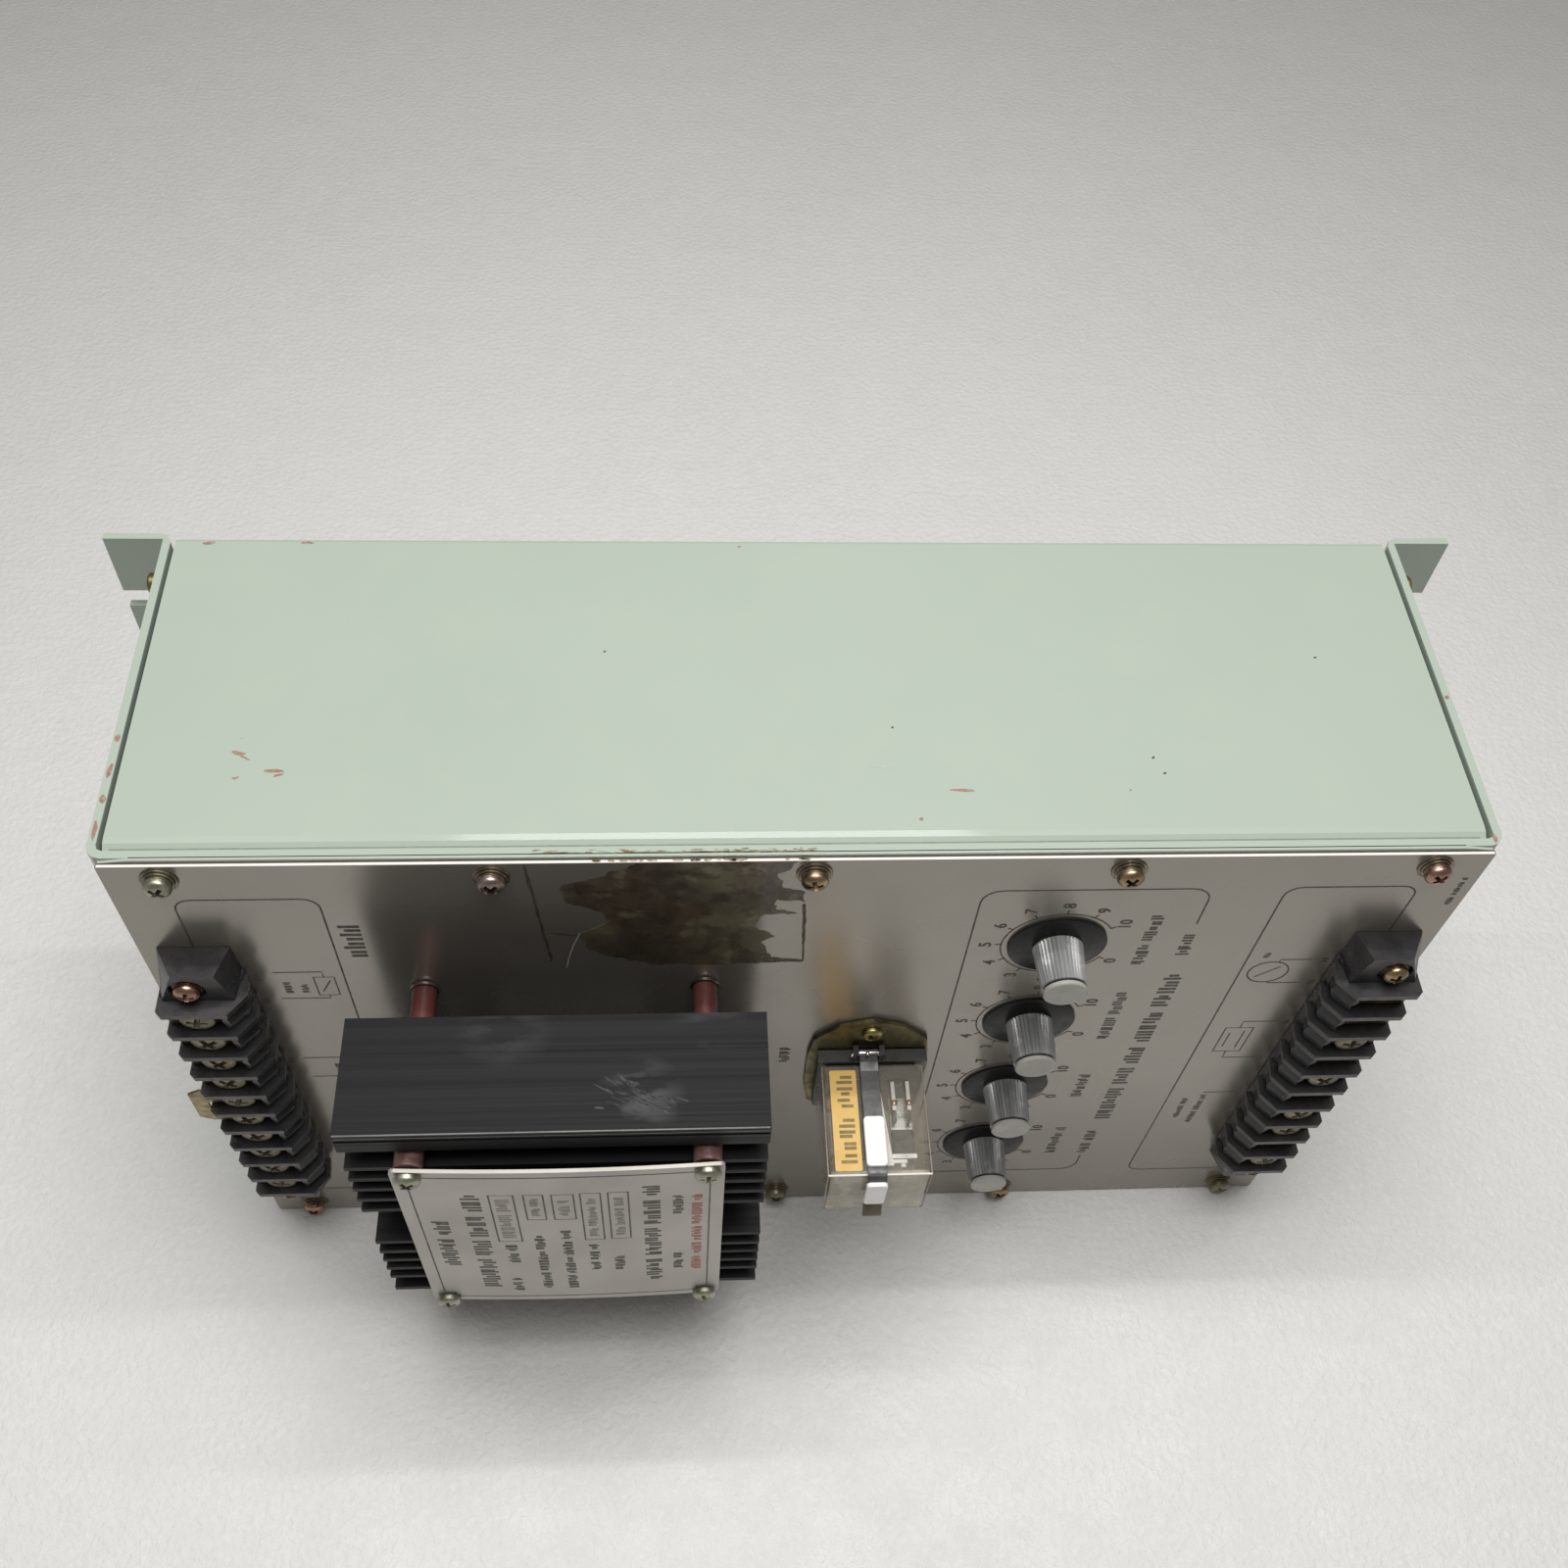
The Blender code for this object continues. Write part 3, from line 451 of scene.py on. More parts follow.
def skin(rings, close=False):
    """Faces through rings of equal length, capped at both ends unless closed."""
    count = len(rings[0])
    verts = [point for points in rings for point in points]
    faces = []
    pairs = len(rings) if close else len(rings) - 1
    for k in range(pairs):
        one = k * count
        two = (k + 1) % len(rings) * count
        for i in range(count):
            j = (i + 1) % count
            faces.append((one + i, one + j, two + j, two + i))
    if not close:
        faces.append(tuple(range(count)))
        faces.append(tuple(range(len(verts) - count, len(verts))))
    return verts, faces


def turned(profile, segments=32, close=False):
    """A body turned about Y from (radius, along) points, in millimetres."""
    return skin([ring(radius, along, segments) for radius, along in profile], close)


def bead(radius, shoulder, half):
    """A small rounded stud about its own middle."""
    return turned([(HUB, half), (shoulder, half - 0.1), (radius, 0.0),
                   (shoulder, 0.1 - half), (HUB, -half)], 16)


def placed(shape, x, y, z):
    """A shape in millimetres round its own origin, moved into the frame."""
    verts, faces = shape
    return [at(*(v + Vector((x, y, z)))) for v in verts], faces


def merged(shapes):
    verts = []
    faces = []
    for shape_verts, shape_faces in shapes:
        base = len(verts)
        verts += shape_verts
        faces += [tuple(base + i for i in face) for face in shape_faces]
    return verts, faces


def slab(outline, near, far, place=at):
    """A prism along Y from an (x, z) outline."""
    return skin([[place(x, near, z) for x, z in outline],
                 [place(x, far, z) for x, z in outline]])


def bevelled(obj, width, segments=2):
    modifier = obj.modifiers.new("soft_edges", "BEVEL")
    modifier.width = width * MM
    modifier.segments = segments
    modifier.limit_method = "ANGLE"
    modifier.angle_limit = math.radians(35)


def rounded(x0, x1, z0, z1, radius, steps=4):
    """A rounded rectangle's outline, anticlockwise from its lower right corner."""
    outline = []
    for cx, cz, start in ((x1 - radius, z0 + radius, -90), (x1 - radius, z1 - radius, 0),
                          (x0 + radius, z1 - radius, 90), (x0 + radius, z0 + radius, 180)):
        for i in range(steps + 1):
            angle = math.radians(start + 90 * i / steps)
            outline.append((cx + radius * math.cos(angle), cz + radius * math.sin(angle)))
    return outline


def stroke(points, width, closed=False, place=at, near=FACE):
    """A printed line of a width along (x, z) points."""
    line = [Vector((x, z)) for x, z in points]
    count = len(line)
    left = []
    right = []
    for i, point in enumerate(line):
        before = line[i - 1] if i or closed else point
        after = line[(i + 1) % count] if i < count - 1 or closed else point
        way = (after - before).normalized()
        side = Vector((-way.y, way.x)) * width / 2
        left.append(point + side)
        right.append(point - side)
    rings = []
    for a, b in zip(left, right):
        rings.append([place(a.x, near - INK_T, a.y), place(b.x, near - INK_T, b.y),
                      place(b.x, near, b.y), place(a.x, near, a.y)])
    return skin(rings, closed)


def bars(x0, x1, z0, z1, seed, place=at, near=FACE):
    """A line of type reduced to plain strokes in groups, read along z."""
    draw = random.Random(seed)
    cell = (x1 - x0) * 0.78
    gap = cell * 0.7
    thin = cell * 0.27
    shapes = []
    z = z0
    left = draw.randint(3, 6)
    while z + cell * 0.72 <= z1 + 0.01:
        if left == 0:
            z += gap
            left = draw.randint(3, 7)
            continue
        for start in (0.0, cell * draw.choice((0.36, 0.44, 0.5))):
            low = x0 + (x1 - x0) * draw.choice((0.0, 0.0, 0.25))
            high = x1 - (x1 - x0) * draw.choice((0.0, 0.0, 0.2))
            mark = [(low, z + start), (high, z + start), (high, z + start + thin),
                    (low, z + start + thin)]
            shapes.append(slab(mark, near, near - INK_T, place))
        z += cell
        left -= 1
    return merged(shapes)


def blotch(x, y, z, long, short, angle, seed, thick=0.04, points=9):
    """An irregular chip lying on an upward face."""
    draw = random.Random(seed)
    outline = []
    for i in range(points):
        turn = 2 * math.pi * i / points
        reach = draw.uniform(0.55, 1.0)
        a = reach * long / 2 * math.cos(turn)
        b = reach * short / 2 * math.sin(turn)
        c, s = math.cos(angle), math.sin(angle)
        outline.append((x + a * c - b * s, y + a * s + b * c))
    return skin([[at(px, py, z - thick) for px, py in outline],
                 [at(px, py, z + thick) for px, py in outline]])


def cut_mesh(name, body_shape, tool_shape):
    """One shape less another, as a mesh."""
    main = shown(f"{name}.body", closed_mesh(f"{name}.body", *body_shape))
    tool = shown(f"{name}.tool", closed_mesh(f"{name}.tool", *tool_shape))
    modifier = main.modifiers.new("cut", "BOOLEAN")
    modifier.operation = "DIFFERENCE"
    modifier.solver = "EXACT"
    modifier.object = tool
    graph = bpy.context.evaluated_depsgraph_get()
    result = bpy.data.meshes.new_from_object(main.evaluated_get(graph))
    result.name = name
    for obj in (main, tool):
        bpy.data.objects.remove(obj)
    return result


# Screws


PANEL_WASHERS = ((4.2, 0.5), (3.6, 0.55), (3.1, 0.5))  # radius and thickness, seat first
BLOCK_WASHERS = ((4.1, 0.6), (3.5, 0.5), (3.0, 0.4))
BLOCK_SEAT = -8.25
PLATE_HEAD = 2.35
RELAY_PLATE = 1.35
SIDE_HEIGHT = 2.98


def in_metres(shape):
    verts, faces = shape
    return [v * MM for v in verts], faces


def pan_head(name, radius, height, look):
    """A pan head with a cross recess, its seat at the origin and its top towards -Y."""
    profile = []
    for i in range(9):
        turn = math.radians(90 * i / 8)
        profile.append((max(radius * math.sin(turn), HUB),
                        -height * (0.35 + 0.65 * math.cos(turn))))
    profile += [(radius, -0.1), (radius - 0.1, 0.0), (HUB, 0.0)]
    arm = radius * 0.56
    half = radius * 0.15
    cross = [(half, half), (arm, half), (arm, -half), (half, -half), (half, -arm),
             (-half, -arm), (-half, -half), (-arm, -half), (-arm, half), (-half, half),
             (-half, arm), (half, arm)]
    rings = []
    for share, depth in ((1.25, -height - 0.5), (1.0, -height * 0.8), (0.5, -height * 0.3)):
        rings.append([Vector((x * share, depth, z * share)) for x, z in cross])
    mesh = cut_mesh(name, in_metres(turned(profile, 28)), in_metres(skin(rings)))
    mesh.materials.clear()
    mesh.materials.append(LOOKS[look])
    return mesh


def washer(name, inner, outer, thick, look):
    """A flat washer, its far face at the origin."""
    edge = min(0.12, thick / 3)
    shape = turned([(inner, 0), (outer - edge, 0), (outer, -edge), (outer, edge - thick),
                    (outer - edge, -thick), (inner, -thick)], 32, close=True)
    mesh = closed_mesh(name, *in_metres(shape))
    mesh.materials.append(LOOKS[look])
    return mesh


def fix(name, mesh, x, y, z, turn=0.0, heading=0.0, **say):
    """A copy of a screw or washer mesh, placed with its seat at a point."""
    obj = dress(name, mesh, None, smooth=38, **say)
    place = Matrix.Translation(at(x, y, z)) @ Matrix.Rotation(heading, 4, "Z")
    obj.matrix_world = place @ Matrix.Rotation(turn, 4, "Y")
    return obj


def screw_stack(name, node, place, looks, washers, turn, slot):
    """A pan-head screw on its washers in place of a CAD screw.

    place is where the lowest washer sits, and washers are (radius, thickness).
    """
    x, y, z = place
    for level, (radius, thick) in enumerate(washers):
        mesh = washer(f"{name}_washer_{level}", BORE, radius, thick, looks[1])
        fix(f"{name}_washer_{level}", mesh, x, y, z, slot=slot)
        y -= thick
    fix(f"{name}_head", looks[0], x, y, z, turn, replaces=(node,), slot=slot)


def build_screws():
    """Pan heads and washers in place of every CAD screw."""
    draw = random.Random(11)
    tones = ("grey_screw", "mauve", "bronze", "bronze", "copper",
             "copper", "bronze", "olive", "bronze", "olive")
    heads = {tone: pan_head(f"panel_head_{tone}", 3.15, 2.4, tone) for tone in sorted(set(tones))}
    for number, tone in enumerate(tones, 1):
        node = f"panel_screw_{number}"
        spot = middle(node)
        under = "brown_washer" if tone != "grey_screw" else "olive"
        screw_stack(f"panel_{number}", node, (spot.x, FACE, spot.z), (heads[tone], under),
                    PANEL_WASHERS, draw.uniform(0, 1.5), "screw_brass")
    for side, tone in (("left", "copper"), ("right", "bronze")):
        head = pan_head(f"block_head_{tone}", 3.1, 2.5, tone)
        for level in ("top", "bottom"):
            node = f"block_screw_{side}_{level}"
            spot = middle(node)
            screw_stack(f"block_{side}_{level}", node, (spot.x, BLOCK_SEAT, spot.z),
                        (head, tone), BLOCK_WASHERS, draw.uniform(0, 1.5), "screw_brass")
    grey = pan_head("nameplate_head", 3.2, 2.3, "grey_screw")
    for number in range(1, 5):
        node = f"nameplate_screw_{number}"
        spot = middle(node)
        seat = local(node)[0].y + PLATE_HEAD
        fix(f"nameplate_head_{number}", grey, spot.x, seat, spot.z,
            draw.uniform(0, 1.5), replaces=(node,), slot="screw_steel")
    small = pan_head("zinc_head", 2.8, 1.8, "zinc")
    for level in ("top", "bottom"):
        node = f"socket_screw_{level}"
        spot = middle(node)
        fix(f"socket_head_{level}", small, spot.x, FACE - RELAY_PLATE, spot.z,
            draw.uniform(0, 1.5), replaces=(node,), slot="yellow_zinc")
    stack = (("washer", washer("side_washer", 1.6, 3.5, 0.5, "zinc"), 0.0, 0.0),
             ("spring", washer("side_spring", 1.6, 2.9, 0.6, "zinc"), 0.5, 0.0),
             ("head", small, 1.1, 0.4))
    for side, way in (("left", -1), ("right", 1)):
        node = f"side_screw_{side}"
        spot = middle(node)
        wall = max(abs(corner.x) for corner in local(node)) - SIDE_HEIGHT
        for word, mesh, out, turn in stack:
            fix(f"side_{word}_{side}", mesh, way * (wall + out), spot.y, spot.z, turn,
                way * math.pi / 2, replaces=(node,) if word == "head" else (),
                slot="yellow_zinc")


# Case, panel and print


LINE = 0.42
DIAL_LINE = 0.38
FINE_LINE = 0.35


def frame_lines():
    """Rounded frames of printed line on the panel; the knobs' frame is open at its right."""
    knobs = rounded(40.0, 94.8, 19.0, 186.5, 5.0)
    return [
        stroke(rounded(-144.6, -112.3, 17.0, 186.3, 4.0), LINE, closed=True),
        stroke(rounded(112.5, 144.6, 17.0, 186.6, 4.0), LINE, closed=True),
        stroke([(94.8, 170.5), *knobs[5:], knobs[0]], LINE),
        stroke([*knobs[:5], (94.8, 29.5)], LINE),
    ]


def symbols():
    """Plain wiring marks beside the terminals."""
    circle = [(119.9 + 5.2 * math.cos(a / 20 * math.pi), 145.9 + 5.2 * math.sin(a / 20 * math.pi))
              for a in range(40)]
    loops = (([(-119.8, 141.3), (-114.8, 141.3), (-114.8, 150.3), (-119.8, 150.3)], FINE_LINE),
             (circle, 0.4),
             ([(117.7, 101.0), (125.4, 101.0), (125.4, 115.0), (117.7, 115.0)], 0.4))
    wires = ([(-117.3, 150.3), (-117.3, 152.9), (-129.0, 152.9)],
             [(-117.3, 141.3), (-117.3, 139.8), (-129.3, 139.8)],
             [(-118.6, 143.0), (-116.0, 148.6)],
             [(-130.3, 106.9), (-118.0, 106.9)],
             [(-129.6, 95.7), (-118.0, 95.7)],
             [(117.0, 143.4), (122.4, 148.6)],
             [(121.4, 150.9), (121.4, 152.2), (129.6, 152.2)],
             [(121.4, 140.9), (121.4, 140.2), (130.0, 140.2)],
             [(121.5, 115.0), (121.5, 118.6), (130.6, 118.6)],
             [(121.5, 101.0), (121.5, 97.0), (131.0, 97.0)],
             [(119.6, 104.0), (119.6, 112.0)],
             [(123.4, 103.0), (123.4, 113.0)],
             [(122.4, 74.2), (131.6, 74.2)])
    marks = ((-127.6, -125.8, 142.6, 148.4, 1), (-123.6, -121.8, 142.8, 148.2, 2),
             (-134.2, -132.4, 149.4, 152.4, 3), (-134.2, -132.4, 137.4, 140.4, 4),
             (-122.8, -121.0, 99.4, 103.8, 5), (-134.6, -132.8, 104.4, 107.4, 6),
             (116.4, 118.0, 153.4, 156.6, 7), (132.2, 133.9, 150.8, 153.4, 8),
             (132.2, 133.9, 139.2, 141.8, 9), (132.6, 134.2, 117.2, 120.0, 10),
             (117.2, 119.0, 57.0, 70.5, 12), (121.9, 123.9, 53.4, 72.6, 13))
    shapes = [stroke(loop, width, closed=True) for loop, width in loops]
    shapes += [stroke(wire, FINE_LINE) for wire in wires]
    return shapes + [bars(*mark) for mark in marks]


DIAL_R = 13.9
DIAL_START = 30
DIAL_STEP = 30
TICK_R = 15.5
NUMBER_R = 17.7
NUMBER_SIZE = 4.3


def scale_print(centre_x, centre_z):
    """A knob's scale: an open circle, and a tick for each number."""
    turns = [math.radians(DIAL_START + DIAL_STEP * step) for step in range(11)]
    arc = []
    for i in range(61):
        turn = turns[0] + (turns[-1] - turns[0]) * i / 60
        arc.append((centre_x + DIAL_R * math.cos(turn), centre_z + DIAL_R * math.sin(turn)))
    shapes = [stroke(arc, DIAL_LINE)]
    for turn in turns:
        tick = [(centre_x + radius * math.cos(turn), centre_z + radius * math.sin(turn))
                for radius in (DIAL_R - 0.1, TICK_R)]
        shapes.append(stroke(tick, DIAL_LINE))
    return shapes


def digit(text, x, z, size):
    """A number standing on its side, its top towards -X."""
    curve = bpy.data.curves.new(f"digit_{text}", "FONT")
    curve.body = text
    curve.size = size * MM
    curve.align_x = "CENTER"
    curve.align_y = "CENTER"
    curve.offset = 0.1 * MM
    curve.extrude = INK_T * MM / 2
    curve.resolution_u = 3
    obj = shown(curve.name, curve)
    graph = bpy.context.evaluated_depsgraph_get()
    mesh = bpy.data.meshes.new_from_object(obj.evaluated_get(graph))
    bpy.data.objects.remove(obj)
    turn = Matrix(((0, -1, 0), (0, 0, -1), (1, 0, 0))).to_4x4()
    place = Matrix.Translation(at(x, FACE - INK_T / 2, z)) @ turn
    verts = [place @ v.co for v in mesh.vertices]
    faces = [tuple(face.vertices) for face in mesh.polygons]
    bpy.data.meshes.remove(mesh)
    return verts, faces


def build_print():
    piece("panel_frames", *merged(frame_lines()), "ink")
    piece("panel_symbols", *merged(symbols()), "ink")
    numbers = []
    for number in range(1, 5):
        spot = middle(f"knob_{number}")
        scales = scale_print(spot.x, spot.z)
        for value in range(11):
            turn = math.radians(DIAL_START + DIAL_STEP * (10 - value))
            numbers.append(digit(str(value), spot.x + NUMBER_R * math.cos(turn),
                                 spot.z + NUMBER_R * math.sin(turn), NUMBER_SIZE))
        piece(f"knob_scale_{number}", *merged(scales), "ink")
    piece("scale_numbers", *merged(numbers), "ink")
    words = ((-110.0, -105.0, 160.0, 179.0), (82.9, 86.1, 151.0, 175.2),
             (82.9, 86.1, 110.0, 136.0), (82.9, 86.1, 73.2, 91.2), (82.9, 86.1, 32.4, 51.0),
             (93.2, 96.6, 155.4, 168.6), (93.4, 98.0, 57.2, 146.4), (93.2, 96.4, 32.0, 48.2),
             (153.5, 155.0, 178.2, 190.2), (-3.6, -0.6, 99.4, 109.4))
    shapes = [bars(*word, seed) for seed, word in enumerate(words, 21)]
    piece("panel_words", *merged(shapes), "ink")


def build_stain():
    """Adhesive left by a label: a torn patch inside a thin outline."""
    patch = [(-39.9, 199.9), (-4.0, 199.9), (-5.6, 196.6), (-8.4, 195.0), (-6.7, 188.8),
             (-1.6, 186.8), (-1.4, 182.6), (-8.2, 184.2), (-8.4, 179.8), (-3.0, 177.6),
             (-10.9, 177.1), (-13.7, 172.5), (-7.8, 167.2), (-11.0, 164.7),
             (-8.2, 157.0), (-0.4, 155.4), (-0.4, 154.6), (-20.0, 154.2), (-36.9, 154.6),
             (-46.0, 158.0), (-52.1, 161.8), (-54.7, 169.7), (-50.2, 172.2),
             (-46.7, 175.1), (-48.9, 179.8), (-56.8, 183.6), (-57.4, 190.7),
             (-49.3, 194.0)]
    draw = random.Random(5)
    torn = []
    for i, (x, z) in enumerate(patch):
        nx, nz = patch[(i + 1) % len(patch)]
        torn.append((x, z))
        steps = max(1, int(math.hypot(nx - x, nz - z) / 1.1))
        edge = z > 199 and nz > 199
        for k in range(1, steps):
            share = k / steps
            wander = 0.0 if edge else 0.5
            torn.append((x + (nx - x) * share + draw.uniform(-wander, wander),
                         z + (nz - z) * share + draw.uniform(-wander, wander)))
    piece("adhesive_patch", *slab(torn, FACE, FACE - 0.08), "stain")
    lines = []
    for x0, z0, x1, z1 in ((-65.0, 199.6, -61.6, 156.6), (-1.5, 181.6, -0.2, 155.6),
                           (-0.2, 155.2, -9.4, 154.8), (-61.6, 170.4, -54.0, 168.6)):
        steps = max(3, int(math.hypot(x1 - x0, z1 - z0) / 2.0))
        path = [(x0 + (x1 - x0) * i / steps + draw.uniform(-0.16, 0.16),
                 z0 + (z1 - z0) * i / steps + draw.uniform(-0.16, 0.16))
                for i in range(steps + 1)]
        for i in range(steps):
            lines.append(stroke(path[i:i + 2], draw.uniform(0.4, 1.0)))
    piece("adhesive_outline", *merged(lines), "brown_line")
    hair = [(-54.2, 169.7), (-56.0, 164.0), (-57.4, 158.0), (-58.1, 153.4)]
    piece("pale_scratch", *stroke(hair, 0.35, near=FACE - 0.06), "cap")


def build_wear():
    """Chips down to the primer, scuffs and grime on the paint."""
    top = local("cover")[1].z
    chips = [(-148.6, 96.0, 4.6, 1.3, 0.1), (-124.3, 96.2, 4.4, 1.1, 0.0),
             (-131.3, 29.2, 4.8, 1.5, -0.25), (-130.0, 28.0, 3.6, 0.7, -0.5),
             (-122.9, 24.1, 5.4, 1.5, -0.1), (-121.6, 22.9, 3.0, 0.8, 0.3),
             (-131.1, 22.2, 2.0, 0.8, 0.3), (35.2, 17.4, 8.4, 0.9, -0.03),
             (24.8, 9.3, 1.6, 1.2, 0.0), (75.0, 17.2, 0.9, 0.7, 0.5),
             (-14.5, 95.4, 1.2, 0.8, 0.0)]
    shapes = [blotch(x, y, top, long, short, angle, 100 + i)
              for i, (x, y, long, short, angle) in enumerate(chips)]
    for i, (x, y, long) in enumerate(((-158.9, 23.6, 5.5), (-159.0, 7.6, 7.0),
                                      (-158.9, 16.0, 3.4), (-159.0, 33.0, 3.0),
                                      (158.9, 44.0, 1.6), (158.0, 2.0, 3.4))):
        shapes.append(blotch(x, y, RIM_TOP, long, 1.5, math.pi / 2, 130 + i, 0.03))
    piece("primer_chips", *merged(shapes), "primer")
    specks = [(-48.4, 59.8), (82.1, 26.6), (84.1, 22.0), (129.2, 57.7), (20.4, 36.0)]
    dots = [blotch(x, y, top, 1.0, 0.7, 0.4, 150 + i) for i, (x, y) in enumerate(specks)]
    piece("dark_specks", *merged(dots), "ink")
    scuffs = [blotch(17.0, 24.3, top, 8.0, 0.7, -0.08, 160),
              blotch(-131.0, 34.0, top, 3.0, 0.5, 0.5, 161)]
    piece("grey_scuffs", *merged(scuffs), "scuff")
    draw = random.Random(9)
    grime = []
    for i in range(90):
        x = -66 + 66 * draw.random() ** 0.6
        grime.append(blotch(x, 0.25 + 0.9 * draw.random() ** 2, RIM_TOP,
                            draw.uniform(0.8, 4.2), draw.uniform(0.2, 0.6),
                            draw.uniform(-0.1, 0.1), 200 + i, 0.03, 7))
    for i in range(14):
        x = -64 + 65 * draw.random() ** 0.8
        grime.append(blotch(x, 0.3, RIM_TOP, draw.uniform(5.0, 11.0), 0.32, 0.0, 400 + i,
                            0.035, 7))
    for i in range(26):
        x = draw.uniform(-50, -1)
        grime.append(blotch(x, -1.3, PANEL_TOP, draw.uniform(0.8, 3.6), 0.9, 0.0,
                            300 + i, 0.16, 7))
    piece("rim_grime", *merged(grime), "grime")


EDGE_END = 0.3
# A band of painted highlight on the panel's top edge.
TOP_HIGHLIGHT = (0.06, 0.72)  # from the panel's face
# A band of painted shade in the gap behind it.
GAP_SHADE = (0.72, 1.12)
LIP_BACK = 0.34
LIP_RUN = 7.0
# A band of painted shade in the seam, measured from the cover's front.
SEAM_SHADE = (1.0, 1.4)  # behind the cover's front


def build_case():
    """The strips seen along the panel's upper edge: a painted highlight on its top, painted shade
    in the gap behind it, a lip up to the rim, and painted shade in the seam behind the cover's
    front.
    """
    low, high = local("front_panel")
    left, right = low.x + EDGE_END, high.x - EDGE_END
    # The first strip is a painted highlight on the panel's top edge;
    for name, (near, far), look in (("panel_top_highlight", TOP_HIGHLIGHT, "polish"),
                                    # the second is painted shade in the gap behind it.
                                    ("panel_top_gap_shade", GAP_SHADE, "brown_line")):
        outline = [(left, PANEL_TOP - 0.1), (right, PANEL_TOP - 0.1),
                   (right, PANEL_TOP + 0.12), (left, PANEL_TOP + 0.12)]
        piece(name, *slab(outline, low.y + near, low.y + far), look, slot="panel_aluminium")
    outline = [(left, PANEL_TOP - 0.1), (right, PANEL_TOP - 0.1), (right, PANEL_TOP + 0.1),
               (high.x - LIP_RUN, RIM_TOP), (low.x + LIP_RUN, RIM_TOP), (left, PANEL_TOP + 0.1)]
    lip = piece("rim_lip", *slab(outline, low.y + GAP_SHADE[1], LIP_BACK), "paint")
    bevelled(lip, 0.2)
    # A strip of painted shade in the seam between the rim and the cover's front.
    front = local("cover")[0].y
    half = local("cover")[1].x - 1.5
    seam = [(-half, PANEL_TOP - 1.35), (half, PANEL_TOP - 1.35), (half, PANEL_TOP - 0.9),
            (-half, PANEL_TOP - 0.9)]
    piece("seam_shade_strip", *slab(seam, front + SEAM_SHADE[0], front + SEAM_SHADE[1]), "seam")


# Terminal blocks


PITCH = 11.1
FILLED = {"left": range(1, 11), "right": (3, 5, 7, 8, 10)}
PLATE_X = (141.7, 154.1)
PLATE_HALF = 4.3
PLATE_FRONT = -10.2
TERMINAL_X = 146.3


def build_terminals():
    """Contact plates with their screws, and the link between two of them."""
    head = pan_head("terminal_head", 4.3, 1.9, "olive")
    disc = washer("terminal_washer", 1.9, 4.5, 0.7, "olive")
    mid = middle("terminal_block_left").z
    draw = random.Random(21)
    for side, way in (("left", -1), ("right", 1)):
        plates = []
        x0, x1 = sorted(way * x for x in PLATE_X)
        for number in range(1, 11):
            z = mid + PITCH * (5.5 - number)
            outline = rounded(x0, x1, z - PLATE_HALF, z + PLATE_HALF, 0.6, 2)
            plates.append(slab(outline, PLATE_FRONT + 1.45, PLATE_FRONT))
            if number not in FILLED[side]:
                continue
            fix(f"terminal_washer_{side}_{number}", disc, way * TERMINAL_X,
                PLATE_FRONT - 0.1, z, slot="screw_brass")
            fix(f"terminal_head_{side}_{number}", head, way * TERMINAL_X,
                PLATE_FRONT - 0.8, z, draw.uniform(0, 1.5), slot="screw_brass")
        piece(f"contact_plates_{side}", *merged(plates), "link", slot="screw_brass")
    upper = mid + PITCH / 2
    lower = mid - PITCH / 2
    half = 3.4
    link = [(-143.0, upper - half), (-143.0, upper + half), (-156.0, upper + half),
            (-159.4, upper + 1.2), (-159.4, lower - 1.2), (-156.0, lower - half),
            (-143.0, lower - half), (-143.0, lower + half), (-155.2, lower + half),
            (-155.2, upper - half)]
    bevelled(piece("link_plate", *slab(link, -10.25, -10.9), "link", slot="screw_brass"), 0.12)


# Heatsink and nameplate


def rod(start, end, half):
    """A square bar between two places, in millimetres."""
    way = Vector(end) - Vector(start)
    side = way.cross(Vector((0, 1, 0)) if abs(way.y) < abs(way.length) / 2
                     else Vector((1, 0, 0))).normalized() * half
    other = way.cross(side).normalized() * half
    rings = []
    for centre in (Vector(start), Vector(end)):
        rings.append([at(*(centre + a * side + b * other))
                      for a, b in ((1, 1), (1, -1), (-1, -1), (-1, 1))])
    return skin(rings)


def build_heatsink():
    """Painted highlights along the block's front edges, a rubbed patch on it, and the tubes it
    stands on.
    """
    low, high = local("heatsink")
    # Two strips of painted highlight along the front edges of the block.
    edges = [rod((low.x + 0.3, low.y + 0.12, z), (high.x - 0.3, low.y + 0.12, z), half)
             for z, half in ((high.z - 0.13, 0.15), (high.z - 1.75, 0.14))]
    piece("heatsink_edge_highlights", *merged(edges), "worn_edge", slot="black_anodised")
    draw = random.Random(17)
    strokes = []
    for i in range(46):
        along = draw.gauss(0, 4.6)
        across = draw.gauss(0, 1.8) - along * 0.30
        strokes.append(blotch(high.x - 30 + along, low.y + 8.2 + across, high.z + 0.04,
                              draw.uniform(2.5, 7.5), draw.uniform(0.25, 0.8),
                              draw.gauss(-0.55, 0.22), 400 + i, 0.02, 8))
    piece("heatsink_rub", *merged(strokes), "rub")
    for number in range(1, 5):
        build_pillar(f"heatsink_pillar_{number}", number, "pillar", 3.05)
        build_pillar(f"nameplate_spacer_{number}", number, "spacer", 3.45)


